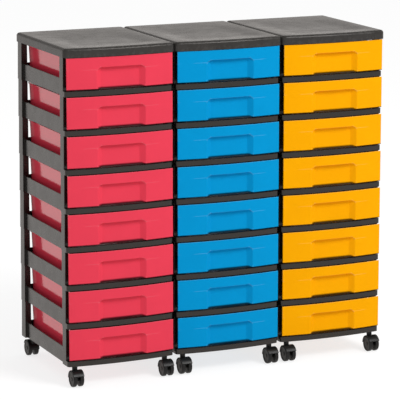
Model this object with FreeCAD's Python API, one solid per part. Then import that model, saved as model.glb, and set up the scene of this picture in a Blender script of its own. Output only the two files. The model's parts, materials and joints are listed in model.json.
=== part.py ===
"""Set of three rolling drawer towers, each a stack of moulded level frames with eight trays.

Units are millimetres. +X runs to the right along the fronts, +Y runs away from the fronts and +Z is up.
The origin lies on the floor under the middle of the whole set.
Inside one tower, y is first measured backwards from the crown of the bowed front,
and z from the piece's own foot.
"""

import FreeCAD, Part
import math
import os

from FreeCAD import Vector

# The set
TOWER_NAMES = ("red", "blue", "yellow")
LEVEL_COUNT = 8
TOWER_GAP = 8.0
COVER_GAP = 0.4

# Tower outline
FRAME_WIDTH = 272.0
FRAME_DEPTH = 340.0
FRONT_BOW = 10.0
LEVEL_PITCH = 92.5

# Level frame
WALL = 3.0
FRONT_RAIL_HEIGHT = 13.0
RAIL_SETBACK = 6.5
RAIL_LIP_DROP = 2.0
SIDE_RAIL_HEIGHT = 39.0
SIDE_RAIL_INSET = 6.0
LEDGE_WIDTH = 22.5
FRONT_FLANGE_DEPTH = 36.0
REAR_FLANGE_DEPTH = 12.0
REAR_WALL_INSET = 3.0
FRONT_POST_SETBACK = 13.5
FRONT_POST_DEPTH = 23.0
REAR_POST_WIDTH = 16.0
REAR_POST_DEPTH = 27.0
POST_DRAFT = 1.0
CORNER_ROUNDING = 6.0
SPIGOT_WIDTH = 4.0
SPIGOT_DEPTH = 9.0
SPIGOT_HEIGHT = 6.0
SPIGOT_CLEARANCE = 0.2

# Top cover
COVER_HEIGHT = 21.5
COVER_WALL = 2.5
COVER_REAR_OVERHANG = 2.0
COVER_CORNER_ROUNDING = 11.0
COVER_EDGE_ROUNDING = 7.5
DISH_DEPTH = 3.5
DISH_RIM = 9.0
DISH_SLOPE = 42.0
DISH_CORNER = 14.0

# Drawer
TRAVEL_RESERVE = 95.0
FRONT_GAP = 1.0
PANEL_FOOT_GAP = 3.0
PANEL_SIDE_INSET = 2.4
PANEL_THICKNESS = 3.0
PANEL_SETBACK = 1.5
TRAY_SIDE_GAP = 15.5
TRAY_HEIGHT = 73.0
TRAY_DRAFT = 2.5
TRAY_WALL = 2.0
TRAY_CORNER = 6.0
TRAY_REAR_GAP = 8.0
SILL_SETBACK = 3.0
RIM_WIDTH = 4.0
RIM_HEIGHT = 2.5
RIM_REAR = 2.0
RUNNER_HEIGHT = 2.6
RUNNER_LIFT = 0.4
RUNNER_END_GAP = 3.0
GUIDE_CLEARANCE = 0.8
STOP_RIB_WIDTH = 90.0
STOP_RIB_THICKNESS = 3.0
STOP_RIB_DROP = 2.6
STOP_CLEARANCE = 0.5

# Grip recess in the drawer front, with a swell at each side of it
RECESS_WIDTH = 122.0
RECESS_FLOOR_WIDTH = 96.0
RECESS_DEPTH = 10.0
RECESS_HEIGHT = 51.5
RECESS_LIP_RISE = 4.0
RECESS_CORNER = 9.0
RECESS_WALL = 2.2
SWELL_HEIGHT = 47.5
SWELL_REACH = 44.0
SWELL_RISE = 0.7

# Castor
BASE_CLEARANCE = 48.0
WHEEL_RADIUS = 19.0
WHEEL_WIDTH = 9.5
WHEEL_CHAMFER = 1.5
WHEEL_DISH = 2.0
WHEEL_RIM = 4.0
WHEEL_CLEARANCE = 0.8
WEB_THICKNESS = 6.4
HOOD_WALL = 1.6
HOOD_FRONT_ANGLE = 182.0
HOOD_REAR_ANGLE = 25.0
HUB_RADIUS = 6.0
TRAIL = 11.0
FRONT_CASTOR_TURN = 180.0
REAR_CASTOR_TURN = 0.0
AXLE_RADIUS = 2.5
AXLE_CLEARANCE = 0.08
NECK_RADIUS = 6.5
NECK_GAP = 1.5
STEM_RADIUS = 4.0
STEM_SOCKET_DEPTH = 6.0
STEM_CLEARANCE = 0.08
STEM_END_GAP = 0.6
SLEEVE_WALL = 2.0
BOSS_WALL = 3.0
STEM_SIDE_INSET = 24.0
FRONT_STEM_SETBACK = 25.0
REAR_STEM_SETBACK = 26.0

# Worked out from the sizes above
TOWER_PITCH = FRAME_WIDTH + TOWER_GAP
HALF_FRAME = FRAME_WIDTH / 2
BOW_RADIUS = (HALF_FRAME**2 + FRONT_BOW**2) / (2 * FRONT_BOW)
COVER_WIDTH = TOWER_PITCH - COVER_GAP
COVER_BACK = FRAME_DEPTH + COVER_REAR_OVERHANG
SIDE_RAIL_OUTER = HALF_FRAME - SIDE_RAIL_INSET
SIDE_RAIL_INNER = SIDE_RAIL_OUTER - WALL
FRONT_POST_FRONT = FRONT_BOW + RAIL_SETBACK + FRONT_POST_SETBACK
FRONT_POST_BACK = FRONT_POST_FRONT + FRONT_POST_DEPTH
REAR_POST_FRONT = FRAME_DEPTH - REAR_POST_DEPTH
REAR_POST_INNER = HALF_FRAME - REAR_POST_WIDTH
PANEL_WIDTH = FRAME_WIDTH - 2 * PANEL_SIDE_INSET
TRAY_WIDTH = 2 * (SIDE_RAIL_INNER - TRAY_SIDE_GAP)
DRAWER_TRAVEL = FRAME_DEPTH - TRAVEL_RESERVE
LEDGE_TOP = FRONT_RAIL_HEIGHT
LEDGE_INNER = SIDE_RAIL_INNER - LEDGE_WIDTH
BAY_HEIGHT = LEVEL_PITCH - LEDGE_TOP
PANEL_BOTTOM = PANEL_FOOT_GAP
PANEL_TOP = BAY_HEIGHT - FRONT_GAP
PANEL_BACK_INSET = PANEL_SETBACK + PANEL_THICKNESS
SILL_INSET = RAIL_SETBACK + SILL_SETBACK
TRAY_TOP = RUNNER_LIFT + TRAY_HEIGHT
REAR_WALL_FRONT = FRAME_DEPTH - REAR_WALL_INSET - WALL
TRAY_BACK = REAR_WALL_FRONT - TRAY_REAR_GAP
HOOD_INNER_RADIUS = WHEEL_RADIUS + WHEEL_CLEARANCE
HOOD_RADIUS = HOOD_INNER_RADIUS + HOOD_WALL
CASTOR_HALF_WIDTH = WEB_THICKNESS / 2 + WHEEL_CLEARANCE + WHEEL_WIDTH
STEM_X = TOWER_PITCH / 2 - STEM_SIDE_INSET
FRONT_STEM_Y = FRONT_STEM_SETBACK
REAR_STEM_Y = FRAME_DEPTH - REAR_STEM_SETBACK
SLEEVE_RADIUS = STEM_RADIUS + STEM_CLEARANCE + SLEEVE_WALL
BOSS_RADIUS = SLEEVE_RADIUS + BOSS_WALL
BOSS_HEIGHT = LEDGE_TOP - WALL
NECK_TOP = BASE_CLEARANCE - NECK_GAP
CASTOR_REACH = max(WHEEL_RADIUS, HOOD_RADIUS * math.cos(math.radians(HOOD_REAR_ANGLE)))
SET_FRONT = min(0.0, FRONT_STEM_Y - TRAIL - CASTOR_REACH)
SET_BACK = max(COVER_BACK, REAR_STEM_Y + TRAIL + CASTOR_REACH)
Y_MIDDLE = (SET_FRONT + SET_BACK) / 2
THROUGH = 1.0

CASTOR_PLACES = {
    "front_left": (-STEM_X, FRONT_STEM_Y),
    "front_right": (STEM_X, FRONT_STEM_Y),
    "rear_left": (-STEM_X, REAR_STEM_Y),
    "rear_right": (STEM_X, REAR_STEM_Y),
}


def tower_x(tower):
    """Middle of a tower along X."""
    middle = (len(TOWER_NAMES) - 1) / 2
    return (TOWER_NAMES.index(tower) - middle) * TOWER_PITCH


def level_z(level):
    """Foot of a level frame above the floor, level 0 at the bottom."""
    return BASE_CLEARANCE + level * LEVEL_PITCH


def bow_y(x, inset=0.0):
    """How far behind the crown the bowed front lies at x, for a face set back by inset."""
    radius = BOW_RADIUS - inset
    return BOW_RADIUS - math.sqrt(radius**2 - x**2)


def block(x0, x1, y0, y1, z0, z1):
    """Box between two corners."""
    return Part.makeBox(x1 - x0, y1 - y0, z1 - z0, Vector(x0, y0, z0))


def mirrored_pair(shape):
    """The shape and its mirror image across the tower's middle plane."""
    return [shape, shape.mirror(Vector(), Vector(1, 0, 0))]


def bowed_wire(half_width, inset, back, z, corner=0.0):
    """Closed outline with a bowed front, straight sides and back, and rounded rear corners."""
    side_y = bow_y(half_width, inset)
    left = Vector(-half_width, side_y, z)
    right = Vector(half_width, side_y, z)
    edges = [Part.Arc(left, Vector(0, inset, z), right).toShape()]
    if corner:
        diagonal = corner * (1 - math.sqrt(0.5))
        turn_in = Vector(half_width, back - corner, z)
        turn_out = Vector(half_width - corner, back, z)
        turn_mid = Vector(half_width - diagonal, back - diagonal, z)

        def flip(point):
            return Vector(-point.x, point.y, point.z)

        edges += [
            Part.makeLine(right, turn_in),
            Part.Arc(turn_in, turn_mid, turn_out).toShape(),
            Part.makeLine(turn_out, flip(turn_out)),
            Part.Arc(flip(turn_out), flip(turn_mid), flip(turn_in)).toShape(),
            Part.makeLine(flip(turn_in), left),
        ]
    else:
        rear_right = Vector(half_width, back, z)
        rear_left = Vector(-half_width, back, z)
        edges += [
            Part.makeLine(right, rear_right),
            Part.makeLine(rear_right, rear_left),
            Part.makeLine(rear_left, left),
        ]
    return Part.Wire(edges)


def bowed_slab(half_width, inset, back, z0, z1):
    """Straight-sided solid with a bowed front."""
    face = Part.Face(bowed_wire(half_width, inset, back, z0))
    return face.extrude(Vector(0, 0, z1 - z0))


def rectangle_wire(x0, x1, y0, y1, z):
    """Closed rectangle at height z."""
    corners = [Vector(x0, y0, z), Vector(x1, y0, z), Vector(x1, y1, z), Vector(x0, y1, z)]
    return Part.makePolygon(corners + corners[:1])


def rounded_wire(x0, x1, y0, y1, z, radius):
    """Closed rectangle with rounded corners at height z."""
    face = Part.Face(rectangle_wire(x0, x1, y0, y1, z))
    solid = face.extrude(Vector(0, 0, 1))
    upright = [edge for edge in solid.Edges if abs(edge.tangentAt(edge.FirstParameter).z) > 0.9]
    rounded = solid.makeFillet(radius, upright)
    foot = min(rounded.Faces, key=lambda part: part.CenterOfMass.z)
    return foot.OuterWire


def upright_edges(solid, low, high, y_limit=None):
    """Straight vertical edges between two heights, in front of y_limit if that is given."""
    found = []
    for edge in solid.Edges:
        box = edge.BoundBox
        vertical = box.XLength < 1e-6 and box.YLength < 1e-6 and box.ZLength > 1e-6
        if vertical and box.ZMin > low - 1e-6 and box.ZMax < high + 1e-6:
            if y_limit is None or box.YMax < y_limit:
                found.append(edge)
    return found


def spigot_places():
    """Middle of the spigot on top of each post, as x and y."""
    front = (HALF_FRAME - POST_DRAFT + SIDE_RAIL_INNER) / 2
    rear = (HALF_FRAME - POST_DRAFT + REAR_POST_INNER) / 2
    front_y = (FRONT_POST_FRONT + FRONT_POST_BACK) / 2
    rear_y = (REAR_POST_FRONT + FRAME_DEPTH - POST_DRAFT) / 2
    return [(side * x, y) for side in (-1, 1) for x, y in ((front, front_y), (rear, rear_y))]


def spigot(x, y, z0, height, clearance=0.0):
    """Block that plugs into the piece above, or the socket for it when clearance is given."""
    half_x = SPIGOT_WIDTH / 2 + clearance
    half_y = SPIGOT_DEPTH / 2 + clearance
    return block(x - half_x, x + half_x, y - half_y, y + half_y, z0, z0 + height)


def sockets():
    """Sockets for the four spigots of the piece below."""
    depth = SPIGOT_HEIGHT + SPIGOT_CLEARANCE
    return [spigot(x, y, -THROUGH, depth + THROUGH, SPIGOT_CLEARANCE) for x, y in spigot_places()]


def posts():
    """Four corner posts that narrow towards the top, each with its spigot."""
    front_low = rectangle_wire(SIDE_RAIL_INNER, HALF_FRAME, FRONT_POST_FRONT, FRONT_POST_BACK, 0)
    front_high = rectangle_wire(
        SIDE_RAIL_INNER, HALF_FRAME - POST_DRAFT, FRONT_POST_FRONT, FRONT_POST_BACK, LEVEL_PITCH
    )
    rear_low = rectangle_wire(REAR_POST_INNER, HALF_FRAME, REAR_POST_FRONT, FRAME_DEPTH, 0)
    rear_high = rectangle_wire(
        REAR_POST_INNER,
        HALF_FRAME - POST_DRAFT,
        REAR_POST_FRONT,
        FRAME_DEPTH - POST_DRAFT,
        LEVEL_PITCH,
    )
    solids = []
    for low, high in ((front_low, front_high), (rear_low, rear_high)):
        solids += mirrored_pair(Part.makeLoft([low, high], True, True))
    overlap = THROUGH
    for x, y in spigot_places():
        solids.append(spigot(x, y, LEVEL_PITCH - overlap, SPIGOT_HEIGHT + overlap))
    return solids


def front_rail():
    """Bowed front rail: a solid foot at each end, and an angle section between them."""
    rail = bowed_slab(HALF_FRAME, RAIL_SETBACK, FRONT_FLANGE_DEPTH, 0, FRONT_RAIL_HEIGHT)
    corners = upright_edges(rail, 0, FRONT_RAIL_HEIGHT, FRONT_FLANGE_DEPTH - WALL)
    rail = rail.makeFillet(CORNER_ROUNDING, corners)
    hollow = bowed_slab(
        SIDE_RAIL_INNER, RAIL_SETBACK + WALL, FRONT_FLANGE_DEPTH + THROUGH, -THROUGH, LEDGE_TOP - WALL
    )
    return rail.cut(hollow)


def side_rails():
    """Side walls with the ledges that the drawers slide on."""
    wall = block(
        SIDE_RAIL_INNER, SIDE_RAIL_OUTER, FRONT_POST_BACK - WALL, REAR_POST_FRONT + WALL, 0, SIDE_RAIL_HEIGHT
    )
    ledge = block(
        LEDGE_INNER,
        SIDE_RAIL_INNER + WALL / 2,
        FRONT_FLANGE_DEPTH - WALL,
        REAR_WALL_FRONT - REAR_FLANGE_DEPTH + WALL,
        LEDGE_TOP - WALL,
        LEDGE_TOP,
    )
    return mirrored_pair(wall.fuse(ledge))


def rear_rail():
    """Rear wall with its flange."""
    back = FRAME_DEPTH - REAR_WALL_INSET
    half = REAR_POST_INNER + WALL
    wall = block(-half, half, back - WALL, back, 0, SIDE_RAIL_HEIGHT)
    flange = block(
        -half, half, back - WALL - REAR_FLANGE_DEPTH, back - WALL / 2, LEDGE_TOP - WALL, LEDGE_TOP
    )
    return wall.fuse(flange)


def level_frame():
    """One moulded level: front rail with a lip over the drawer below, side and rear walls, ledges, posts."""
    lip = front_layer(
        HALF_FRAME - CORNER_ROUNDING,
        RAIL_SETBACK + WALL / 4,
        RAIL_SETBACK + 3 * WALL / 4,
        -RAIL_LIP_DROP,
        FRONT_RAIL_HEIGHT / 2,
    )
    frame = front_rail().multiFuse(side_rails() + [rear_rail(), lip] + posts())
    return frame.cut(Part.makeCompound(sockets())).removeSplitter()


def base_frame():
    """The lowest level, with a boss at each corner for a castor."""
    bosses = []
    holes = []
    for x, y in CASTOR_PLACES.values():
        bosses.append(Part.makeCylinder(BOSS_RADIUS, BOSS_HEIGHT + WALL / 2, Vector(x, y, 0)))
        holes.append(
            Part.makeCylinder(SLEEVE_RADIUS, BOSS_HEIGHT + THROUGH, Vector(x, y, -THROUGH))
        )
    frame = front_rail().multiFuse(side_rails() + [rear_rail()] + posts() + bosses)
    return frame.cut(Part.makeCompound(holes)).removeSplitter()


def stem_sleeves():
    """Four sleeves, pressed into the base, that the castor stems turn in."""
    bore = STEM_RADIUS + STEM_CLEARANCE
    sleeves = []
    for x, y in CASTOR_PLACES.values():
        tube = Part.makeCylinder(SLEEVE_RADIUS, BOSS_HEIGHT, Vector(x, y, 0))
        hole = Part.makeCylinder(bore, BOSS_HEIGHT + 2 * THROUGH, Vector(x, y, -THROUGH))
        sleeves.append(tube.cut(hole))
    return sleeves


def top_cover():
    """Moulded lid with a skirt, a dished top and a socket block over each post."""
    half = COVER_WIDTH / 2
    cover = bowed_slab(half, 0, COVER_BACK, 0, COVER_HEIGHT)
    cover = cover.makeFillet(COVER_CORNER_ROUNDING, upright_edges(cover, 0, COVER_HEIGHT))
    top_edges = [edge for edge in cover.Edges if edge.BoundBox.ZMin > COVER_HEIGHT - 1e-3]
    cover = cover.makeFillet(COVER_EDGE_ROUNDING, top_edges)
    ceiling = COVER_HEIGHT - DISH_DEPTH - COVER_WALL
    hollow = bowed_slab(half - COVER_WALL, COVER_WALL, COVER_BACK - COVER_WALL, -THROUGH, ceiling)
    cover = cover.cut(hollow)
    blocks = []
    for x, y in spigot_places():
        inner_x = abs(x) - SPIGOT_WIDTH / 2 - COVER_WALL
        outer_x = half - COVER_WALL / 2
        x0, x1 = (inner_x, outer_x) if x > 0 else (-outer_x, -inner_x)
        half_y = SPIGOT_DEPTH / 2 + COVER_WALL
        blocks.append(block(x0, x1, y - half_y, y + half_y, 0, ceiling + THROUGH))
    cover = cover.multiFuse(blocks).cut(Part.makeCompound(sockets()))
    return cover.cut(dish()).removeSplitter()


def dish():
    """The shallow hollow of the top: a wide slope down to a flat floor."""
    front = FRONT_BOW + DISH_RIM
    half = COVER_WIDTH / 2 - DISH_RIM
    back = COVER_BACK - DISH_RIM
    rise = THROUGH / DISH_DEPTH * DISH_SLOPE
    wires = []
    for inward, z, radius in (
        (-rise, COVER_HEIGHT + THROUGH, DISH_CORNER + rise),
        (DISH_SLOPE, COVER_HEIGHT - DISH_DEPTH, DISH_CORNER + DISH_SLOPE),
    ):
        wires.append(
            rounded_wire(-half + inward, half - inward, front + inward, back - inward, z, radius)
        )
    return Part.makeLoft(wires, True, True)


def recess_wire(half_width, top, y, bottom):
    """Outline of the grip recess in a plane of constant y, with rounded top corners."""
    radius = RECESS_CORNER
    diagonal = radius * (1 - math.sqrt(0.5))

    def point(x, z):
        return Vector(x, y, z)

    left_foot, right_foot = point(-half_width, bottom), point(half_width, bottom)
    left_turn, right_turn = point(-half_width, top - radius), point(half_width, top - radius)
    left_top, right_top = point(-half_width + radius, top), point(half_width - radius, top)
    left_mid = point(-half_width + diagonal, top - diagonal)
    right_mid = point(half_width - diagonal, top - diagonal)
    return Part.Wire(
        [
            Part.makeLine(left_foot, left_turn),
            Part.Arc(left_turn, left_mid, left_top).toShape(),
            Part.makeLine(left_top, right_top),
            Part.Arc(right_top, right_mid, right_turn).toShape(),
            Part.makeLine(right_turn, right_foot),
            Part.makeLine(right_foot, left_foot),
        ]
    )


def recess_loft(y0, y1, grow, bottom):
    """Recess between two planes, grown outwards by grow to make the wall around it."""
    slope = (RECESS_WIDTH - RECESS_FLOOR_WIDTH) / 2 / RECESS_DEPTH
    lift = RECESS_LIP_RISE / RECESS_DEPTH
    wires = []
    for y in (y0, y1):
        depth = y - PANEL_SETBACK
        half_width = RECESS_WIDTH / 2 - slope * depth + grow
        top = PANEL_BOTTOM + RECESS_HEIGHT + lift * depth + grow
        wires.append(recess_wire(half_width, top, y, bottom))
    return Part.makeLoft(wires, True, True)


def swells():
    """Low swell on each side of the recess that fades out towards the panel's ends."""
    near = RECESS_WIDTH / 2
    far = near + SWELL_REACH
    near_y = bow_y(near, PANEL_SETBACK) - SWELL_RISE
    far_y = bow_y(far, PANEL_SETBACK)
    near_mid = (near + far) / 2
    mid_y = bow_y(near_mid, PANEL_SETBACK) - SWELL_RISE / 2
    inner = PANEL_SETBACK + PANEL_THICKNESS / 2
    outline = Part.Wire(
        [
            Part.Arc(Vector(near, near_y, 0), Vector(near_mid, mid_y, 0), Vector(far, far_y, 0)).toShape(),
            Part.makeLine(Vector(far, far_y, 0), Vector(far, bow_y(far, inner), 0)),
            Part.Arc(
                Vector(far, bow_y(far, inner), 0),
                Vector(near_mid, bow_y(near_mid, inner), 0),
                Vector(near, bow_y(near, inner), 0),
            ).toShape(),
            Part.makeLine(Vector(near, bow_y(near, inner), 0), Vector(near, near_y, 0)),
        ]
    )
    solid = Part.Face(outline).extrude(Vector(0, 0, SWELL_HEIGHT))
    solid.translate(Vector(0, 0, PANEL_BOTTOM))
    return mirrored_pair(solid)


def tray_loft(half_width, inset, back, corner, z0, z1, draft):
    """Tapered body of the tray: draft narrower at the foot than at the top."""
    low = bowed_wire(half_width - draft, inset, back - draft, z0, corner)
    high = bowed_wire(half_width, inset, back, z1, corner)
    return Part.makeLoft([low, high], True, True)


def front_layer(half_width, near, far, z0, z1):
    """Bowed layer between two insets from the front, as wide as half_width to each side."""
    layer = bowed_slab(half_width, near, FRAME_DEPTH / 2, z0, z1)
    behind = bowed_slab(HALF_FRAME + THROUGH, far, FRAME_DEPTH, z0 - THROUGH, z1 + THROUGH)
    return layer.cut(behind)


def foot_relief():
    """Space under the front that the set-back rail of the level frame leaves free."""
    return front_layer(HALF_FRAME, -THROUGH, SILL_INSET, RUNNER_LIFT - THROUGH, PANEL_BOTTOM)


def sill(half_width, near):
    """Step that joins the tray's floor to the foot of the front."""
    top = PANEL_BOTTOM + TRAY_WALL
    riser = SILL_INSET + TRAY_WALL / 4
    tread = front_layer(half_width, near, riser + TRAY_WALL, PANEL_BOTTOM, top)
    return tread.fuse(front_layer(half_width, riser, riser + TRAY_WALL, RUNNER_LIFT + TRAY_WALL / 2, top))


def tray():
    """Open tray with tapered walls, a raised sill, an outer rim, runners and a stop rib."""
    half = TRAY_WIDTH / 2
    outer_inset = PANEL_BACK_INSET - PANEL_THICKNESS / 4
    body = tray_loft(half, outer_inset, TRAY_BACK, TRAY_CORNER, RUNNER_LIFT, TRAY_TOP, TRAY_DRAFT)
    body = body.cut(foot_relief())
    cavity = tray_loft(
        half - TRAY_WALL,
        PANEL_BACK_INSET - PANEL_THICKNESS / 8,
        TRAY_BACK - TRAY_WALL,
        TRAY_CORNER - TRAY_WALL,
        RUNNER_LIFT + TRAY_WALL,
        TRAY_TOP + THROUGH,
        TRAY_DRAFT,
    )
    step = sill(half - TRAY_DRAFT - TRAY_WALL / 2, outer_inset)
    rim_front = PANEL_BACK_INSET + FRONT_BOW
    rim_half = half + RIM_WIDTH
    rim_back = TRAY_BACK + RIM_REAR
    rim_low = TRAY_TOP - RIM_HEIGHT
    rim = block(-rim_half, rim_half, rim_front, rim_back, rim_low, TRAY_TOP)
    rim_hole = block(
        -half + TRAY_WALL / 2,
        half - TRAY_WALL / 2,
        rim_front - THROUGH,
        TRAY_BACK - TRAY_WALL / 2,
        rim_low - THROUGH,
        TRAY_TOP + THROUGH,
    )
    runner_outer = SIDE_RAIL_INNER - GUIDE_CLEARANCE
    runner = block(
        half - TRAY_DRAFT - TRAY_WALL / 2,
        runner_outer,
        FRONT_POST_BACK,
        REAR_POST_FRONT - RUNNER_END_GAP,
        RUNNER_LIFT,
        RUNNER_LIFT + RUNNER_HEIGHT,
    )
    rib_y = FRONT_FLANGE_DEPTH + STOP_CLEARANCE + DRAWER_TRAVEL
    rib = block(
        -STOP_RIB_WIDTH / 2,
        STOP_RIB_WIDTH / 2,
        rib_y,
        rib_y + STOP_RIB_THICKNESS,
        RUNNER_LIFT - STOP_RIB_DROP,
        RUNNER_LIFT + TRAY_WALL / 2,
    )
    return body.multiFuse([rim.cut(rim_hole)] + mirrored_pair(runner) + [rib]).cut(cavity).fuse(step)


def drawer():
    """One drawer: bowed front with its grip recess, and the tray behind it."""
    panel = front_layer(PANEL_WIDTH / 2, PANEL_SETBACK, PANEL_BACK_INSET, PANEL_BOTTOM, PANEL_TOP)
    recess_back = PANEL_SETBACK + RECESS_DEPTH
    shell_front = PANEL_BACK_INSET - PANEL_THICKNESS / 10
    shell = recess_loft(shell_front, recess_back + RECESS_WALL, RECESS_WALL, RUNNER_LIFT)
    shell = shell.cut(foot_relief())
    space = recess_loft(-THROUGH, recess_back, 0, RUNNER_LIFT - THROUGH)
    return panel.multiFuse([tray(), shell] + swells()).cut(space).removeSplitter()


def hood_sector(radius, half_width, start_angle, end_angle):
    """Part of a disc about the axle, angles counted upwards from straight back."""
    centre = Vector(0, 0, 0)

    def rim(angle):
        turn = math.radians(angle)
        return Vector(0, radius * math.cos(turn), radius * math.sin(turn))

    outline = Part.Wire(
        [
            Part.makeLine(centre, rim(start_angle)),
            Part.Arc(rim(start_angle), rim((start_angle + end_angle) / 2), rim(end_angle)).toShape(),
            Part.makeLine(rim(end_angle), centre),
        ]
    )
    solid = Part.Face(outline).extrude(Vector(2 * half_width, 0, 0))
    solid.translate(Vector(-half_width, 0, 0))
    return solid


def axle_cylinder(radius, half_length):
    """Cylinder about the axle, which runs along X through the local origin."""
    return Part.makeCylinder(radius, 2 * half_length, Vector(-half_length, 0, 0), Vector(1, 0, 0))


def castor_fork():
    """Hooded fork, stem and axle of one castor, about the foot of its swivel axis on the floor."""
    web_half = WEB_THICKNESS / 2
    hood = hood_sector(HOOD_RADIUS, CASTOR_HALF_WIDTH, HOOD_REAR_ANGLE, HOOD_FRONT_ANGLE)
    hub = axle_cylinder(HUB_RADIUS, web_half)
    to_axle = Vector(0, TRAIL, WHEEL_RADIUS)
    for part in (hood, hub):
        part.translate(to_axle)
    neck = Part.makeCylinder(NECK_RADIUS, NECK_TOP - WHEEL_RADIUS, Vector(0, 0, WHEEL_RADIUS))
    wells = []
    for side in (-1, 1):
        start = web_half if side > 0 else -CASTOR_HALF_WIDTH - THROUGH
        length = CASTOR_HALF_WIDTH - web_half + THROUGH
        well = Part.makeCylinder(HOOD_INNER_RADIUS, length, Vector(start, 0, 0), Vector(1, 0, 0))
        well.translate(to_axle)
        wells.append(well)
    axle = axle_cylinder(AXLE_RADIUS, CASTOR_HALF_WIDTH - WHEEL_DISH - THROUGH)
    axle.translate(to_axle)
    stem_foot = NECK_TOP - STEM_SOCKET_DEPTH
    stem_top = BASE_CLEARANCE + BOSS_HEIGHT - STEM_END_GAP
    stem = Part.makeCylinder(STEM_RADIUS, stem_top - stem_foot, Vector(0, 0, stem_foot))
    body = hood.fuse(neck).cut(Part.makeCompound(wells)).fuse(hub)
    body = body.cut(axle).cut(stem).removeSplitter()
    return [body, stem, axle]


def castor_wheels():
    """The two wheels of one castor, with dished outer faces and a blind bore for the axle."""
    inner = WEB_THICKNESS / 2 + WHEEL_CLEARANCE
    outer = inner + WHEEL_WIDTH
    rim = WHEEL_RADIUS - WHEEL_RIM
    bore = AXLE_RADIUS + AXLE_CLEARANCE
    bore_end = CASTOR_HALF_WIDTH - WHEEL_DISH - THROUGH + AXLE_CLEARANCE
    profile = [
        (inner, bore),
        (inner, WHEEL_RADIUS - WHEEL_CHAMFER),
        (inner + WHEEL_CHAMFER, WHEEL_RADIUS),
        (outer - WHEEL_CHAMFER, WHEEL_RADIUS),
        (outer, WHEEL_RADIUS - WHEEL_CHAMFER),
        (outer, rim),
        (outer - WHEEL_DISH / 2, rim - WHEEL_DISH / 2),
        (outer - WHEEL_DISH / 2, 0),
        (bore_end, 0),
        (bore_end, bore),
    ]
    points = [Vector(x, 0, z) for x, z in profile]
    face = Part.Face(Part.makePolygon(points + points[:1]))
    wheel = face.revolve(Vector(), Vector(1, 0, 0), 360)
    wheels = mirrored_pair(wheel)
    for part in wheels:
        part.translate(Vector(0, TRAIL, WHEEL_RADIUS))
    return wheels


def castor_turn(place):
    """Angle of a castor about its stem at rest: the front ones trail forwards, the rear ones backwards."""
    return FRONT_CASTOR_TURN if place.startswith("front") else REAR_CASTOR_TURN


def placed(solids, x, y, z, turn=0.0):
    """Copies of the solids, turned about +Z and moved from a tower's own measures to the set's."""
    moved = []
    for solid in solids:
        copy = solid.copy()
        copy.rotate(Vector(), Vector(0, 0, 1), turn)
        copy.translate(Vector(x, y - Y_MIDDLE, z))
        moved.append(copy)
    return moved


def all_nodes():
    """Every node of the set by name, each a list of solids."""
    frame, base, cover = level_frame(), base_frame(), top_cover()
    tray_and_front = drawer()
    sleeves, fork, wheels = stem_sleeves(), castor_fork(), castor_wheels()
    nodes = {}
    for tower in TOWER_NAMES:
        x = tower_x(tower)
        nodes[f"{tower}_base_frame"] = placed([base], x, 0, level_z(0))
        nodes[f"{tower}_level_frames"] = [
            solid for level in range(1, LEVEL_COUNT) for solid in placed([frame], x, 0, level_z(level))
        ]
        nodes[f"{tower}_top_cover"] = placed([cover], x, 0, level_z(LEVEL_COUNT))
        nodes[f"{tower}_stem_sleeves"] = placed(sleeves, x, 0, level_z(0))
        for level in range(LEVEL_COUNT):
            number = LEVEL_COUNT - level
            nodes[f"{tower}_drawer_{number}"] = placed([tray_and_front], x, 0, level_z(level) + LEDGE_TOP)
        for place, (stem_x, stem_y) in CASTOR_PLACES.items():
            turn = castor_turn(place)
            nodes[f"{tower}_{place}_castor_fork"] = placed(fork, x + stem_x, stem_y, 0, turn)
            nodes[f"{tower}_{place}_castor_wheels"] = placed(wheels, x + stem_x, stem_y, 0, turn)
    return nodes


def main():
    """Builds every node and writes one file for each."""
    os.makedirs("parts", exist_ok=True)
    for name, solids in all_nodes().items():
        shape = solids[0] if len(solids) == 1 else Part.makeCompound(solids)
        shape.exportStep(f"parts/{name}.step")
        volume = sum(solid.Volume for solid in solids) / 1000
        print(f"{name}: {len(solids)} solids, {volume:.1f} cm3, valid {shape.isValid()}")


if __name__ == "__main__":
    main()
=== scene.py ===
"""Dressed scene of a row of rolling drawer towers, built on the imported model.

Pieces are modelled in a tower's own measures, in millimetres: x from the tower's middle, y
backwards from the crown of its bowed front, z upwards. Each finished mesh is then moved to its
place in the row, in metres.
"""

import json
import logging
import math
from collections.abc import Callable, Iterator, Sequence
from contextlib import contextmanager
from dataclasses import dataclass
from enum import Enum

import bmesh
import bpy
from mathutils import Matrix, Vector


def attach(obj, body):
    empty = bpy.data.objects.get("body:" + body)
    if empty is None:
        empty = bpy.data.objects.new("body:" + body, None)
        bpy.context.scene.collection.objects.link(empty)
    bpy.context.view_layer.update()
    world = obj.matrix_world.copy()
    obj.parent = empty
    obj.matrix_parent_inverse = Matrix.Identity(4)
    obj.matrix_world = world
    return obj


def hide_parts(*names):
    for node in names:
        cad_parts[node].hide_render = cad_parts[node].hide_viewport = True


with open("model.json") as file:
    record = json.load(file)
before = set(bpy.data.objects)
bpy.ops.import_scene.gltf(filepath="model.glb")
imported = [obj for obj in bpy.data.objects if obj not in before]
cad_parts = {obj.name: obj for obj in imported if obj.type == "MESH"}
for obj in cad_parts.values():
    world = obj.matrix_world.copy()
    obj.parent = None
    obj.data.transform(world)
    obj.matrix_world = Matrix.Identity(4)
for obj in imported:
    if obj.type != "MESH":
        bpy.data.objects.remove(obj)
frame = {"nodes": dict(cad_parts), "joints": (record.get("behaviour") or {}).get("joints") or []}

LOG = logging.getLogger("drawer_towers")
MM = 0.001  # metres in a millimetre
CLOSE = 1e-5  # slack when places are compared, in metres
HAIR = 0.01  # the same slack, in millimetres
SLACK = 0.1  # slack for places that a round edge has shifted, in millimetres
OVERLAP = 1.0  # how far joined blocks reach into each other, in millimetres
OVERSHOOT = 5.0  # how far a cutting tool reaches past what it cuts, in millimetres
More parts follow.
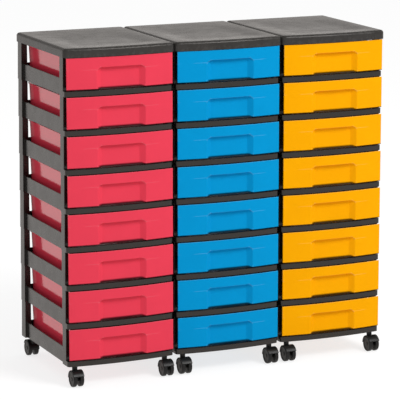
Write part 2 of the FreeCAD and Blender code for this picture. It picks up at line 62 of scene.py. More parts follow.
DOUBLE = 0.005  # distance at which corners are one, in millimetres
FLAT = 0.3  # turn below which a seam is flat, in degrees
FACING = 0.9  # share of a face's normal along an axis that the face looks along
SIDES = (-1, 1)  # left and right

Colour = tuple[float, float, float]
Point = tuple[float, float, float]
Span = tuple[float, float]
Section = tuple[tuple[float, float], ...]
Piece = bpy.types.Object
Socket = bpy.types.NodeSocket


class Tower(Enum):
    """The towers of the row, from left to right."""

    RED = "red"
    BLUE = "blue"
    YELLOW = "yellow"


class Corner(Enum):
    """The four places of the castors under a tower."""

    FRONT_LEFT = "front_left"
    FRONT_RIGHT = "front_right"
    REAR_LEFT = "rear_left"
    REAR_RIGHT = "rear_right"

    @property
    def turn(self) -> float:
        """Angle of the castor about its stem at rest: the front ones trail forwards."""
        return 180.0 if self in (Corner.FRONT_LEFT, Corner.FRONT_RIGHT) else 0.0


class Part(Enum):
    """What a selection in edit mode picks."""

    VERTS = "VERT"
    EDGES = "EDGE"
    FACES = "FACE"


class Merge(Enum):
    """What a tool solid does to a piece."""

    ADD = "UNION"
    CUT = "DIFFERENCE"


class Axis(Enum):
    """Directions along which cuts are laid."""

    X = (1.0, 0.0, 0.0)
    Y = (0.0, 1.0, 0.0)
    Z = (0.0, 0.0, 1.0)


def clamped(value: float) -> float:
    """A value held between zero and one."""
    return min(1.0, max(0.0, value))


def eased(value: float) -> float:
    """A value held between zero and one, with soft ends."""
    share = clamped(value)
    return share * share * (3 - 2 * share)


def climb(edge: bmesh.types.BMEdge) -> float:
    """How far an edge climbs from one end to the other, in metres."""
    return abs(edge.verts[0].co.z - edge.verts[1].co.z)


class Bench:
    """Workbench: every tool acts on one mesh object, with its sizes in millimetres."""

    @staticmethod
    def only(piece: Piece) -> None:
        """Makes a piece the only selected object, and the active one.

        Args:
            piece: The object to select.
        """
        bpy.ops.object.select_all(action="DESELECT")
        piece.select_set(True)
        bpy.context.view_layer.objects.active = piece

    @staticmethod
    @contextmanager
    def editing(piece: Piece) -> Iterator[None]:
        """Keeps a piece in edit mode for the length of a with block.

        Args:
            piece: The object to edit.

        Returns:
            The manager of the with block.
        """
        Bench.only(piece)
        bpy.ops.object.mode_set(mode="EDIT")
        try:
            yield
        finally:
            bpy.ops.object.mode_set(mode="OBJECT")

    @staticmethod
    def pick(piece: Piece, part: Part, test: Callable[[object], bool]) -> None:
        """Selects the elements of a mesh in edit mode that pass a test.

        Args:
            piece: The object, already in edit mode.
            part: Whether vertices, edges or faces are tested.
            test: Takes the element and says whether it is picked.
        """
        bpy.ops.mesh.select_mode(type=part.value)
        bpy.ops.mesh.select_all(action="DESELECT")
        mesh = bmesh.from_edit_mesh(piece.data)
        elements = {Part.VERTS: mesh.verts, Part.EDGES: mesh.edges, Part.FACES: mesh.faces}[part]
        picked = [element for element in elements if test(element)]
        for element in picked:
            element.select_set(True)
        mesh.select_flush_mode()
        bmesh.update_edit_mesh(piece.data)

    @staticmethod
    def bevel(width: float, steps: int) -> None:
        """Rounds the edges that are picked in edit mode."""
        bpy.ops.mesh.bevel(offset=width * MM, segments=steps, affect="EDGES", clamp_overlap=False)

    @staticmethod
    def face_outwards() -> None:
        """Turns all faces of the mesh in edit mode outwards."""
        bpy.ops.mesh.select_all(action="SELECT")
        bpy.ops.mesh.normals_make_consistent(inside=False)

    @staticmethod
    def add(
        name: str,
        primitive: Callable[..., set[str]],
        scale: Sequence[float] = (1.0, 1.0, 1.0),
        **settings: object,
    ) -> Piece:
        """Adds a primitive and puts its place and size into its mesh.

        Args:
            name: The new object's name.
            primitive: The operator that adds it.
            scale: Factor along each axis on the operator's own size.
            settings: What the operator is told, in metres.

        Returns:
            The new object.
        """
        bpy.ops.object.select_all(action="DESELECT")
        primitive(**settings)
        piece = bpy.context.object
        piece.scale = scale
        bpy.ops.object.transform_apply(location=True, rotation=True, scale=True)
        piece.name = piece.data.name = name
        return piece

    @staticmethod
    def block(name: str, one: Point, other: Point) -> Piece:
        """Adds a box between two opposite corners.

        Args:
            name: The new object's name.
            one: One corner.
            other: The corner across from it.

        Returns:
            The new object, with its place in its mesh.
        """
        spans = [sorted(span) for span in zip(one, other)]
        low, high = (Vector(corner) * MM for corner in zip(*spans))
        add = bpy.ops.mesh.primitive_cube_add
        return Bench.add(name, add, high - low, size=1, location=(low + high) / 2)

    @staticmethod
    def rod(name: str, radius: float, start: Point, end: Point, sides: int = 48) -> Piece:
        """Adds a round rod between two points.

        Args:
            name: The new object's name.
            radius: The rod's radius.
            start: Middle of one end.
            end: Middle of the other end.
            sides: How many flats go round it.

        Returns:
            The new object, with its place in its mesh.
        """
        low, high = Vector(start) * MM, Vector(end) * MM
        return Bench.add(
            name,
            bpy.ops.mesh.primitive_cylinder_add,
            vertices=sides,
            radius=radius * MM,
            depth=(high - low).length,
            location=(low + high) / 2,
            rotation=(high - low).to_track_quat("Z", "Y").to_euler(),
        )

    @staticmethod
    def finish(piece: Piece, kind: str, **settings: object) -> None:
        """Adds a modifier and applies it.

        Args:
            piece: The object to change.
            kind: The modifier's type.
            settings: The modifier's own properties.
        """
        Bench.only(piece)
        modifier = piece.modifiers.new(kind.title(), kind)
        for key, value in settings.items():
            setattr(modifier, key, value)
        bpy.ops.object.modifier_apply(modifier=modifier.name)

    @staticmethod
    def thicken(piece: Piece, wall: float) -> None:
        """Gives a sheet a wall on its inner side."""
        Bench.finish(piece, "SOLIDIFY", thickness=wall * MM, offset=-1, use_even_offset=True)

    @staticmethod
    def round_off(piece: Piece, width: float, steps: int = 2, angle: float = 32.0) -> None:
        """Rounds every sharp edge.

        Args:
            piece: The object to change.
            width: How far the round edge reaches into both faces.
            steps: Number of facets across the round edge.
            angle: Turn past which an edge is sharp, in degrees.
        """
        Bench.finish(
            piece,
            "BEVEL",
            width=width * MM,
            segments=steps,
            limit_method="ANGLE",
            angle_limit=math.radians(angle),
            use_clamp_overlap=False,
            miter_outer="MITER_ARC",
        )

    @staticmethod
    def combine(piece: Piece, tool: Piece, merge: Merge = Merge.ADD) -> None:
        """Joins a tool solid to a piece, or cuts it away, and removes the tool."""
        Bench.finish(piece, "BOOLEAN", operation=merge.value, solver="EXACT", object=tool)
        bpy.data.objects.remove(tool, do_unlink=True)

    @staticmethod
    def clean(piece: Piece) -> None:
        """Merges doubles, then dissolves the seams that a join leaves in flat faces.

        Args:
            piece: The object to clean.
        """
        with Bench.editing(piece):
            bpy.ops.mesh.select_all(action="SELECT")
            bpy.ops.mesh.remove_doubles(threshold=DOUBLE * MM)
            bpy.ops.mesh.dissolve_limited(angle_limit=math.radians(FLAT))

    @staticmethod
    def cut(piece: Piece, axis: Axis, *places: float) -> None:
        """Lays flat cuts right through a mesh.

        Args:
            piece: The object to cut.
            axis: The direction along which the cuts lie.
            places: Where they lie along it.
        """
        with Bench.editing(piece):
            for place in places:
                bpy.ops.mesh.select_all(action="SELECT")
                bpy.ops.mesh.bisect(plane_co=Vector(axis.value) * place * MM, plane_no=axis.value)

    @staticmethod
    def cut_slices(piece: Piece, half_width: float, count: int) -> None:
        """Cuts a width about the middle into equal slices."""
        step = 2 * half_width / count
        Bench.cut(piece, Axis.X, *(-half_width + step * number for number in range(1, count)))

    @staticmethod
    def reshape(piece: Piece, move: Callable[[Vector], Vector]) -> None:
        """Moves every vertex to where move puts it, in millimetres."""
        for vertex in piece.data.vertices:
            vertex.co = move(vertex.co / MM) * MM

    @staticmethod
    def join(name: str, pieces: Sequence[Piece]) -> Piece:
        """Makes one object out of several, which keep their own shells.

        Args:
            name: The joined object's name.
            pieces: The objects to join.

        Returns:
            The joined object.
        """
        Bench.only(pieces[0])
        for piece in pieces[1:]:
            piece.select_set(True)
        bpy.ops.object.join()
        joined = bpy.context.object
        joined.name = joined.data.name = name
        return joined

    @staticmethod
    def copy(piece: Piece, name: str, shift: Vector, turn: float = 0.0) -> Piece:
        """Copies an object with a mesh of its own.

        Args:
            piece: The object to copy.
            name: The copy's name.
            shift: How far the copy is moved, in metres.
            turn: Angle about +Z by which it is turned first, in degrees.

        Returns:
            The copy, with its place in its mesh.
        """
        twin = piece.copy()
        twin.data = piece.data.copy()
        turned = Matrix.Rotation(math.radians(turn), 4, "Z")
        twin.data.transform(Matrix.Translation(shift) @ turned)
        twin.name = twin.data.name = name
        bpy.context.scene.collection.objects.link(twin)
        return twin

    @staticmethod
    def smooth(piece: Piece, angle: float = 38.0) -> None:
        """Shades smoothly across small turns, with flat faces kept flat.

        Args:
            piece: The object to shade.
            angle: Turn past which an edge stays sharp, in degrees.
        """
        Bench.only(piece)
        bpy.ops.object.shade_smooth_by_angle(angle=math.radians(angle))
        Bench.finish(piece, "WEIGHTED_NORMAL", keep_sharp=True, weight=80)

    @staticmethod
    def mark_wear_and_highlight(piece: Piece, turn: float = 30.0, largest: float = math.inf) -> None:
        """Writes a mark, one on sharp outward corners, that the finish lightens as wear and painted
        highlight.

        Args:
            piece: The object to mark.
            turn: Angle by which an outward edge turns at least to be marked, in degrees.
            largest: Area of a face that keeps its corners unmarked, in square millimetres.
        """
        mesh = bmesh.new()
        mesh.from_mesh(piece.data)
        worn = [0.0] * len(mesh.verts)
        limit = math.radians(turn)
        for edge in mesh.edges:
            if len(edge.link_faces) == 2 and edge.is_convex and edge.calc_face_angle() > limit:
                for vert in edge.verts:
                    if max(face.calc_area() for face in vert.link_faces) < largest * MM**2:
                        worn[vert.index] = 1.0
        mesh.free()
        attribute = piece.data.attributes.new("edge_wear_and_highlight", "FLOAT", "POINT")
        attribute.data.foreach_set("value", worn)

    @staticmethod
    def mark_shade(piece: Piece, test: Callable[[Vector], bool]) -> None:
        """Writes the deep_shade attribute: one on the corners in deep shade.

        Args:
            piece: The object to mark.
            test: Takes a corner's place in millimetres and says whether it lies in shade.
        """
        attribute = piece.data.attributes.new("deep_shade", "FLOAT", "POINT")
        for vertex, mark in zip(piece.data.vertices, attribute.data):
            mark.value = float(test(vertex.co / MM))


class Board:
    """Node board of a material or a world, with short ways to add and link nodes."""

    MIX_COLOURS = (6, 7)
    MIX_RESULT = 2

    def __init__(self, owner: bpy.types.Material | bpy.types.World) -> None:
        """Starts an empty board.

        Args:
            owner: The material or world that the nodes belong to.
        """
        owner.use_nodes = True
        self.tree = owner.node_tree
        self.tree.nodes.clear()
        self.places = self.add("TexCoord").outputs

    def add(
        self, kind: str, values: dict[str | int, object] | None = None, **settings: object
    ) -> bpy.types.Node:
        """Adds a node, with its settings and the values or links of its inputs.

        Args:
            kind: The node's type, without its ShaderNode prefix.
            values: Input name or number to a plain value or to the output that feeds it.
            settings: The node's own properties.

        Returns:
            The new node.
        """
        node = self.tree.nodes.new("ShaderNode" + kind)
        for key, value in settings.items():
            setattr(node, key, value)
        for key, value in (values or {}).items():
            socket = node.inputs[key]
            if isinstance(value, Socket):
                self.tree.links.new(value, socket)
            else:
                socket.default_value = (*value, 1.0) if socket.type == "RGBA" else value
        return node

    def noise(self, size: float, detail: float = 2.0, stretch: Point | None = None) -> Socket:
        """Noise with features of a size in millimetres, read from the piece's own place.

        Args:
            size: Rough width of one feature.
            detail: Number of finer layers.
            stretch: Scale along each axis, for patterns that run one way.

        Returns:
            The noise value, from 0 to 1.
        """
        source = self.places["Object"]
        if stretch is not None:
            source = self.add("Mapping", {"Vector": source, "Scale": stretch}).outputs["Vector"]
        values = {"Vector": source, "Scale": 1 / (size * MM), "Detail": detail}
        return self.add("TexNoise", values).outputs["Fac"]

    def ramp(self, value: Socket, span: Span, to: Span) -> Socket:
        """Maps a value from one span to another, held at both ends."""
        ends = dict(zip(("From Min", "From Max", "To Min", "To Max"), (*span, *to)))
        return self.add("MapRange", {"Value": value, **ends}).outputs["Result"]

    def math(self, operation: str, one: object, two: object) -> Socket:
        """Works out one value from two values or sockets."""
        return self.add("Math", {0: one, 1: two}, operation=operation).outputs["Value"]

    def blend(self, share: Socket, one: object, two: object) -> Socket:
        """Mixes two colours, each a plain colour or a socket."""
        values = {0: share, **dict(zip(self.MIX_COLOURS, (one, two)))}
        return self.add("Mix", values, data_type="RGBA").outputs[self.MIX_RESULT]

    def attribute(self, name: str) -> Socket:
        """Reads a number that the mesh carries."""
        return self.add("Attribute", attribute_name=name).outputs["Fac"]

    def bump(
        self, height: Socket, depth: float, strength: float = 1.0, over: Socket | None = None
    ) -> Socket:
        """Relief of a surface.

        Args:
            height: Height of the relief, from 0 to 1.
            depth: What a height of 1 stands for, in millimetres.
            strength: Share of the relief that shows.
            over: Another relief that this one lies on.

        Returns:
            The normal of the surface with its relief.
        """
        values = {"Height": height, "Distance": depth * MM, "Strength": strength}
        if over is not None:
            values["Normal"] = over
        return self.add("Bump", values).outputs["Normal"]


def scaled(colour: Colour, by: float) -> Colour:
    """A colour made lighter or darker by a factor."""
    return tuple(min(1.0, channel * by) for channel in colour)


def faded(colour: Colour, keep: float, lift: float) -> Colour:
    """A lighter colour for worn edges and painted highlights: a share of it, and some white."""
    return tuple(keep * channel + lift for channel in colour)


@dataclass(frozen=True)
class Finish:
    """A named procedural finish."""

    name: str
    colour: Colour

    def material(self) -> bpy.types.Material:
        """Builds the material at its first use and gives the same one afterwards.

        Returns:
            The material.
        """
        material = bpy.data.materials.get(self.name)
        if material is None:
            material = bpy.data.materials.new(self.name)
            board = Board(material)
            board.add("OutputMaterial", {"Surface": self.surface(board)})
        return material

    def surface(self, board: Board) -> Socket:
        """Lays out the finish's nodes and gives the shader's output."""
        raise NotImplementedError

    def paint(self, piece: Piece) -> None:
        """Makes this the only finish of a piece."""
        piece.data.materials.clear()
        piece.data.materials.append(self.material())


@dataclass(frozen=True)
class MouldedPlastic(Finish):
    """Moulded plastic: even colour with slight mottling, fine grain, worn edges with a painted
    highlight on some finishes, and painted shade.

    Sizes and depths are in millimetres, and a span is the part of a noise that shows.
    """

    roughness: float
    # Lighter colour of marked edges: wear, and on the drawer fronts a painted highlight.
    wear_and_highlight_colour: Colour
    wear_and_highlight: float = 0.25
    # Share of that colour on every marked edge: a painted highlight where it is above zero.
    wear_and_highlight_floor: float = 0.0
    worn_roughness: float = 0.3
    rub_size: float = 9.0
    rub_span: Span = (0.45, 0.7)
    mottling: float = 0.05
    cloud_size: float = 60.0
    cloud_span: Span = (0.35, 0.65)
    # Share of the colour kept where the mesh marks painted shade.
    shade: float = 0.1
    swing: float = 0.05
    smear_size: float = 28.0
    smear_span: Span = (0.3, 0.7)
    scratches: float = 0.0
    scratch_size: float = 1.0
    scratch_stretch: Point = (0.8, 0.02, 0.8)
    scratch_span: Span = (0.62, 0.72)
    grain_size: float = 0.9
    grain_depth: float = 0.012
    wave_size: float = 35.0
    wave_depth: float = 0.02
    specular: float = 0.5
    tint: Colour = (1.0, 1.0, 1.0)

    def surface(self, board: Board) -> Socket:
        """Lays out mottling, worn edges with a painted highlight, painted shade, uneven gloss and
        relief.

        Args:
            board: The material's board.

        Returns:
            The shader's output.
        """
        clouds = board.noise(self.cloud_size, detail=3.0)
        cloud = board.ramp(clouds, self.cloud_span, (0, 1))
        deep, pale = scaled(self.colour, 1 - self.mottling), scaled(self.colour, 1 + self.mottling)
        rubs = board.noise(self.rub_size, detail=4.0)
        # Patchy wear on marked edges, over an even painted highlight where the floor is above zero.
        rub_and_highlight = board.ramp(rubs, self.rub_span, (self.wear_and_highlight_floor, self.wear_and_highlight))
        wear_and_highlight = board.math("MULTIPLY", board.attribute("edge_wear_and_highlight"), rub_and_highlight)
        colour = board.blend(wear_and_highlight, board.blend(cloud, deep, pale), self.wear_and_highlight_colour)
        # Colour of painted shade, laid where the deep_shade attribute marks it.
        dark = scaled(self.colour, self.shade)
        gloss = (self.roughness - self.swing, self.roughness + self.swing)
        smear = board.ramp(board.noise(self.smear_size, detail=4.0), self.smear_span, gloss)
        if self.scratches:
            lines = board.noise(self.scratch_size, stretch=self.scratch_stretch)
            streak = board.ramp(lines, self.scratch_span, (0, self.scratches))
            smear = board.math("ADD", smear, streak)
        dulled = board.math("MULTIPLY", wear_and_highlight, self.worn_roughness)
        grain = board.bump(board.noise(self.grain_size), self.grain_depth)
        wave = board.noise(self.wave_size, detail=1.0)
        values = {
            "Base Color": board.blend(board.attribute("deep_shade"), colour, dark),
            "Roughness": board.math("ADD", smear, dulled),
            "Specular IOR Level": self.specular,
            "Specular Tint": self.tint,
            "Normal": board.bump(wave, self.wave_depth, over=grain),
        }
        return board.add("BsdfPrincipled", values).outputs["BSDF"]


@dataclass(frozen=True)
class TurnedSteel(Finish):
    """Bright steel of stems and axles, with fine turning marks; sizes in millimetres."""

    dulling: float = 0.85
    cloud_size: float = 4.0
    mark_size: float = 0.4
    mark_stretch: Point = (1.0, 1.0, 12.0)
    mark_span: Span = (0.3, 0.7)
    mark_depth: float = 0.01
    mark_strength: float = 0.6
    gloss: Span = (0.22, 0.42)

    def surface(self, board: Board) -> Socket:
        """Lays out cloudy metal with turning marks.

        Args:
            board: The material's board.

        Returns:
            The shader's output.
        """
        marks = board.noise(self.mark_size, stretch=self.mark_stretch)
        cloud = board.noise(self.cloud_size, detail=3.0)
        values = {
            "Base Color": board.blend(cloud, scaled(self.colour, self.dulling), self.colour),
            "Metallic": 1.0,
            "Roughness": board.ramp(marks, self.mark_span, self.gloss),
            "Normal": board.bump(marks, self.mark_depth, self.mark_strength),
        }
        return board.add("BsdfPrincipled", values).outputs["BSDF"]


WHITE: Colour = (1.0, 1.0, 1.0)
WARM_WHITE: Colour = (1.0, 0.95, 0.91)
DRAWER_COLOURS: dict[Tower, Colour] = {
    Tower.RED: (0.85, 0.056, 0.097),
    Tower.BLUE: (0.001, 0.31, 0.66),
    Tower.YELLOW: (1.0, 0.42, 0.0005),
}
FRAME_PLASTIC = MouldedPlastic(
    "frame_moulding",
    (0.008, 0.0068, 0.006),
    roughness=0.27,
    wear_and_highlight_colour=(0.05, 0.048, 0.046),
    wear_and_highlight=0.5,
    grain_depth=0.003,
    wave_depth=0.008,
    tint=WARM_WHITE,
)
COVER_PLASTIC = MouldedPlastic(
    "cover_moulding",
    (0.034, 0.032, 0.030),
    roughness=0.25,
    wear_and_highlight_colour=(0.09, 0.087, 0.083),
    wear_and_highlight=0.4,
    mottling=0.12,
    swing=0.03,
    scratches=0.03,
    grain_depth=0.004,
    wave_depth=0.003,
    specular=0.22,
    tint=WARM_WHITE,
)
CASTOR_PLASTIC = MouldedPlastic(
    "castor_moulding",
    (0.005, 0.005, 0.005),
    roughness=0.38,
    wear_and_highlight_colour=(0.03, 0.03, 0.03),
    wear_and_highlight=0.6,
    specular=0.28,
)
WHEEL_PLASTIC = MouldedPlastic(
    "wheel_moulding",
    (0.006, 0.006, 0.006),
    roughness=0.42,
    wear_and_highlight_colour=(0.04, 0.04, 0.038),
    wear_and_highlight=0.7,
    scratches=0.15,
    specular=0.28,
)
SLEEVE_PLASTIC = MouldedPlastic(
    "sleeve_moulding", (0.6, 0.6, 0.57), roughness=0.35, wear_and_highlight_colour=(0.4, 0.39, 0.37)
)
STEEL = TurnedSteel("stem_steel", (0.56, 0.57, 0.58))


def front_finish(tower: Tower) -> MouldedPlastic:
    """Satin finish of a tower's drawer fronts.

    Args:
        tower: The tower, which gives the colour.

    Returns:
        The finish.
    """
    colour = DRAWER_COLOURS[tower]
    return MouldedPlastic(
        f"{tower.value}_front_moulding",
        colour,
        roughness=0.42,
        # The lighter edges of the fronts are a painted highlight along the recess and the swells,
        # over patchy wear.
        wear_and_highlight_colour=faded(colour, keep=0.75, lift=0.16),
        wear_and_highlight=0.5,
        wear_and_highlight_floor=0.25,
        mottling=0.015,
        specular=0.03,
    )


def tray_finish(tower: Tower) -> MouldedPlastic:
    """Glossy finish of the trays behind the fronts.

    Args:
        tower: The tower, which gives the colour.

    Returns:
        The finish.
    """
    colour = DRAWER_COLOURS[tower]
    return MouldedPlastic(
        f"{tower.value}_tray_moulding",
        colour,
        roughness=0.10,
        wear_and_highlight_colour=faded(colour, keep=0.8, lift=0.1),
        mottling=0.015,
        swing=0.03,
        grain_depth=0.0008,
        wave_depth=0.004,
        specular=0.68,
    )


def stand_in(piece: Piece, node: str, body: str) -> None:
    """Lets a piece stand for a node.

    Args:
        piece: The finished piece.
        node: The node that it replaces.
        body: The body that it rides on.
    """
    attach(piece, body)
    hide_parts(node)


def place(
    master: Piece, node: str, body: str, slot: str, shift: Vector, turn: float = 0.0
) -> Piece:
    """Puts a copy of a master where a node is.

    Args:
        master: The piece as built.
        node: The node that the copy replaces.
        body: The body that it rides on.
        slot: Not used.
        shift: How far it is moved, in metres.
        turn: Angle about +Z by which it is turned first, in degrees.

    Returns:
        The placed copy.
    """
    piece = Bench.copy(master, node + "_dressed", shift, turn)
    stand_in(piece, node, body)
    return piece


@dataclass(frozen=True)
class TowerPlan:
    """Sizes that the pieces of a tower share, in millimetres."""

    width: float = 272.0
    depth: float = 340.0
    bow: float = 10.0
    levels: int = 8
    level_pitch: float = 92.5
    base_height: float = 48.0
    rail_height: float = 13.0
    front_stem_y: float = 25.0

    def bow_at(self, x: float, inset: float = 0.0) -> float:
        """How far behind the crown a bowed face lies.

        Args:
            x: Place across the tower.
            inset: How far the face is set back.

        Returns:
            The distance from the crown.
        """
        half = self.width / 2
        radius = (half**2 + self.bow**2) / (2 * self.bow)
        return radius - math.sqrt((radius - inset) ** 2 - x**2)

    def swivel(self, tower: Tower, corner: Corner) -> Vector:
        """Where a castor's swivel axis meets the tower's base, in metres."""
        name = f"{tower.value}_{corner.value}_castor_swivel"
        return next(Vector(joint["pos_m"]) for joint in frame["joints"] if joint["name"] == name)

    def origin(self, tower: Tower) -> Vector:
        """The tower's own origin on the floor, in metres."""
        left, right = (self.swivel(tower, side) for side in (Corner.FRONT_LEFT, Corner.FRONT_RIGHT))
        return Vector(((left.x + right.x) / 2, left.y - self.front_stem_y * MM, 0))

    def level(self, number: int) -> Vector:
        """Step from the floor to the foot of a level, 0 being the lowest, in metres."""
        return Vector((0, 0, (self.base_height + number * self.level_pitch) * MM))


@dataclass
class Drawer:
    """One drawer: a bowed front with a grip recess, and the tray behind it."""

    plan: TowerPlan
    front_width: float = 267.2
    front_low: float = 3.0
    front_high: float = 78.5
    front_wall: float = 3.0
    front_edge: float = 1.0
    front_skin: float = 1.2
    front_slices: int = 30
    setback: float = 1.5
    # Which edges of the front get the painted highlight and wear.
    edge_mark_turn: float = 9.0
    edge_mark_area: float = 14.0
    foot_shades: tuple[float, float, float] = (1.2, 2.4, 6.0)
    recess_width: float = 122.0
    recess_floor: float = 96.0
    recess_depth: float = 10.0
    recess_top: float = 54.5
    recess_rise: float = 4.0
    recess_corner: float = 9.0
    swell_top: float = 50.5
    swell_step: float = 1.2
    swell_reach: float = 105.0
    swell_rise: float = 0.7
    swell_overlap: float = 1.5
    tray_half: float = 111.5
    tray_draft: float = 2.5
    tray_wall: float = 2.0
    tray_low: float = 0.4
    tray_high: float = 73.4
    tray_front: float = 6.0
    tray_back: float = 326.0
    tray_corner: float = 6.0
    tray_foot: float = 3.0
    tray_edge: float = 0.5
    tray_slices: int = 17
    weld: float = 0.75
    weld_reach: float = 8.0
    shade_reach: float = 24.0
    detour_start: float = 62.5
    detour_full: float = 48.0
    sill_inset: float = 9.5
    sill_riser: float = 10.0
    sill_high: float = 5.0
    sill_gap: float = 0.2
    sill_edge: float = 0.4
    sill_shade: float = 0.5
    rim: float = 4.0
    rim_back: float = 2.0
    rim_drop: float = 2.5
    runner_half: float = 126.2
    runner_high: float = 3.0
    runner_start: float = 53.0
    runner_end: float = 310.0
    runner_edge: float = 0.6
    stop_half: float = 45.0
    stop_y: float = 281.5
    stop_wall: float = 3.0
    stop_drop: float = 2.2

    @property
    def weld_depth(self) -> float:
        """How far behind the crown the tray meets the front's wall."""
        return self.setback + self.weld * self.front_wall

    @property
    def detour_depth(self) -> float:
        """How far behind the crown the tray meets the recess's wall."""
        return self.setback + self.recess_depth + self.front_wall / 2

    def build(self) -> Piece:
        """Models the drawer once, at the ledge of a tower's own measures.

        Returns:
            The drawer, in the first tower's finishes.
        """
        front, others = self.front(), [self.tray(), self.sill(), *self.runners()]
        Bench.smooth(front)
        front_finish(Tower.RED).paint(front)
        for piece in others:
            Bench.mark_wear_and_highlight(piece)
            Bench.smooth(piece)
            tray_finish(Tower.RED).paint(piece)
        return Bench.join("drawer_master", [front, *others])

    def front(self) -> Piece:
        """Models the front as a flat sheet with its recess, then gives it its wall and its bow.

        Returns:
            The front, marked for worn edges with a painted highlight, and for painted shade.
        """
        piece = Bench.add(
            "drawer_front",
            bpy.ops.mesh.primitive_plane_add,
            (self.front_width * MM, (self.front_high - self.front_low) * MM, 1),
            size=1,
            location=(0, 0, (self.front_low + self.front_high) / 2 * MM),
            rotation=(math.pi / 2, 0, 0),
        )
        Bench.cut(piece, Axis.X, -self.recess_width / 2, self.recess_width / 2)
        Bench.cut(piece, Axis.Z, self.recess_top)
        self.sink_recess(piece)
        Bench.thicken(piece, self.front_wall)
        Bench.round_off(piece, self.front_edge, steps=3)
        step_foot = self.swell_top - self.swell_step
        Bench.cut(piece, Axis.Z, self.swell_top, step_foot, step_foot - self.swell_step / 2)
        Bench.cut(piece, Axis.X, -self.swell_reach, self.swell_reach)
        Bench.cut_slices(piece, self.front_width / 2, self.front_slices)
        # Painted shade along the foot of the front, reaching higher in the recess.
        shades = [self.front_low + rise for rise in self.foot_shades]
        Bench.cut(piece, Axis.Z, *shades)
        Bench.mark_shade(
            piece,
            lambda point: point.z < shades[int(point.y > self.recess_depth / 2)] + SLACK,
        )
        Bench.reshape(piece, self.bow_front)
        # Marks the edges that the front's finish lightens as a painted highlight and as wear.
        Bench.mark_wear_and_highlight(piece, self.edge_mark_turn, self.edge_mark_area)
        return piece

    def sink_recess(self, piece: Piece) -> None:
        """Pushes the recess in, slopes its sides, lifts its top and rounds its corners.

        Args:
            piece: The flat front.
        """
        half, depth = self.recess_width / 2 * MM, self.recess_depth * MM
        top, bottom = self.recess_top * MM, self.front_low * MM + CLOSE
        with Bench.editing(piece):
            Bench.pick(
                piece,
                Part.FACES,
                lambda face: abs(face.calc_center_median().x) < half
                and face.calc_center_median().z < top,
            )
            bpy.ops.mesh.extrude_region_move(TRANSFORM_OT_translate={"value": (0, depth, 0)})
            narrow = self.recess_floor / self.recess_width
            bpy.ops.transform.resize(value=(narrow, 1, 1), center_override=(0, 0, 0))
            Bench.pick(
                piece, Part.VERTS, lambda vert: vert.co.y > depth / 2 and vert.co.z > top - CLOSE
            )
            bpy.ops.transform.translate(value=(0, 0, self.recess_rise * MM))
            Bench.pick(
                piece, Part.FACES, lambda face: all(vert.co.z < bottom for vert in face.verts)
            )
            bpy.ops.mesh.delete(type="FACE")
            Bench.pick(
                piece,
                Part.EDGES,
                lambda edge: abs(edge.verts[0].co.y - edge.verts[1].co.y) > depth / 2
                and min(vert.co.z for vert in edge.verts) > top - CLOSE,
            )
            Bench.bevel(self.recess_corner, steps=6)

    def bow_front(self, point: Vector) -> Vector:
        """Puts a point of the flat front on the bow, with the swells beside the recess raised.

        Args:
            point: The point of the flat front.

        Returns:
            The moved point.
        """
        keep = 1.0
        if point.y > self.front_wall + SLACK:
            keep = clamped((self.recess_depth - point.y) / (self.recess_depth - self.front_wall))
        bowed = self.plan.bow_at(point.x, self.setback) - self.setback
        rise = 0.0
        near, far = self.recess_width / 2, self.swell_reach
        raised = point.y < self.front_skin and point.z < self.swell_top - self.swell_step + HAIR
        if raised and near - self.swell_overlap < abs(point.x) < far:
            rise = self.swell_rise * clamped((far - abs(point.x)) / (far - near))
        return Vector((point.x, point.y + self.setback + bowed * keep - rise, point.z))

    def tray(self) -> Piece:
        """Models the tray as a sheet with tapered walls and a turned rim, then gives it a wall.

        Returns:
            The tray, with its front edge on the bow.
        """
        half, start, wall_top = self.tray_half, self.tray_front, self.tray_high - self.tray_wall
        piece = Bench.block(
            "drawer_tray", (-half, start, self.tray_low), (half, self.tray_back, wall_top)
        )
        foot, crown, length = self.tray_low * MM, wall_top * MM, self.tray_back - start
        corners = (self.tray_back - self.tray_corner) * MM
        with Bench.editing(piece):
            Bench.pick(
                piece,
                Part.FACES,
                lambda face: face.normal.z > FACING or face.normal.y < -FACING,
            )
            bpy.ops.mesh.delete(type="FACE")
            Bench.pick(piece, Part.VERTS, lambda vert: vert.co.z < foot + CLOSE)
            taper = (1 - self.tray_draft / half, 1 - self.tray_draft / length, 1)
            bpy.ops.transform.resize(value=taper, center_override=(0, start * MM, foot))
            Bench.pick(
                piece,
                Part.EDGES,
                lambda edge: climb(edge) > crown / 2
                and min(vert.co.y for vert in edge.verts) > corners,
            )
            Bench.bevel(self.tray_corner, steps=5)
            Bench.pick(
                piece,
                Part.EDGES,
                lambda edge: all(vert.co.z < foot + CLOSE for vert in edge.verts)
                and not edge.is_boundary,
            )
            Bench.bevel(self.tray_foot, steps=3)
            Bench.pick(
                piece,
                Part.EDGES,
                lambda edge: edge.is_boundary
                and all(vert.co.z > crown - CLOSE for vert in edge.verts),
            )
            bpy.ops.mesh.extrude_region_move()
            spread = (1 + self.rim / half, 1 + self.rim_back / length, 1)
            bpy.ops.transform.resize(value=spread, center_override=(0, start * MM, crown))
            drop = (0, 0, -self.rim_drop * MM)
            bpy.ops.mesh.extrude_region_move(TRANSFORM_OT_translate={"value": drop})
            Bench.face_outwards()
        Bench.thicken(piece, self.tray_wall)
        Bench.round_off(piece, self.tray_edge)
        self.cut_detour(piece, half)
        Bench.cut(piece, Axis.Y, self.shade_reach)
        # Painted shade on the front edge of the tray's floor, which shows under the front.
        Bench.mark_shade(
            piece, lambda point: point.y < self.weld_reach and point.z < self.front_low
        )
        Bench.reshape(piece, self.meet_front)
        return piece

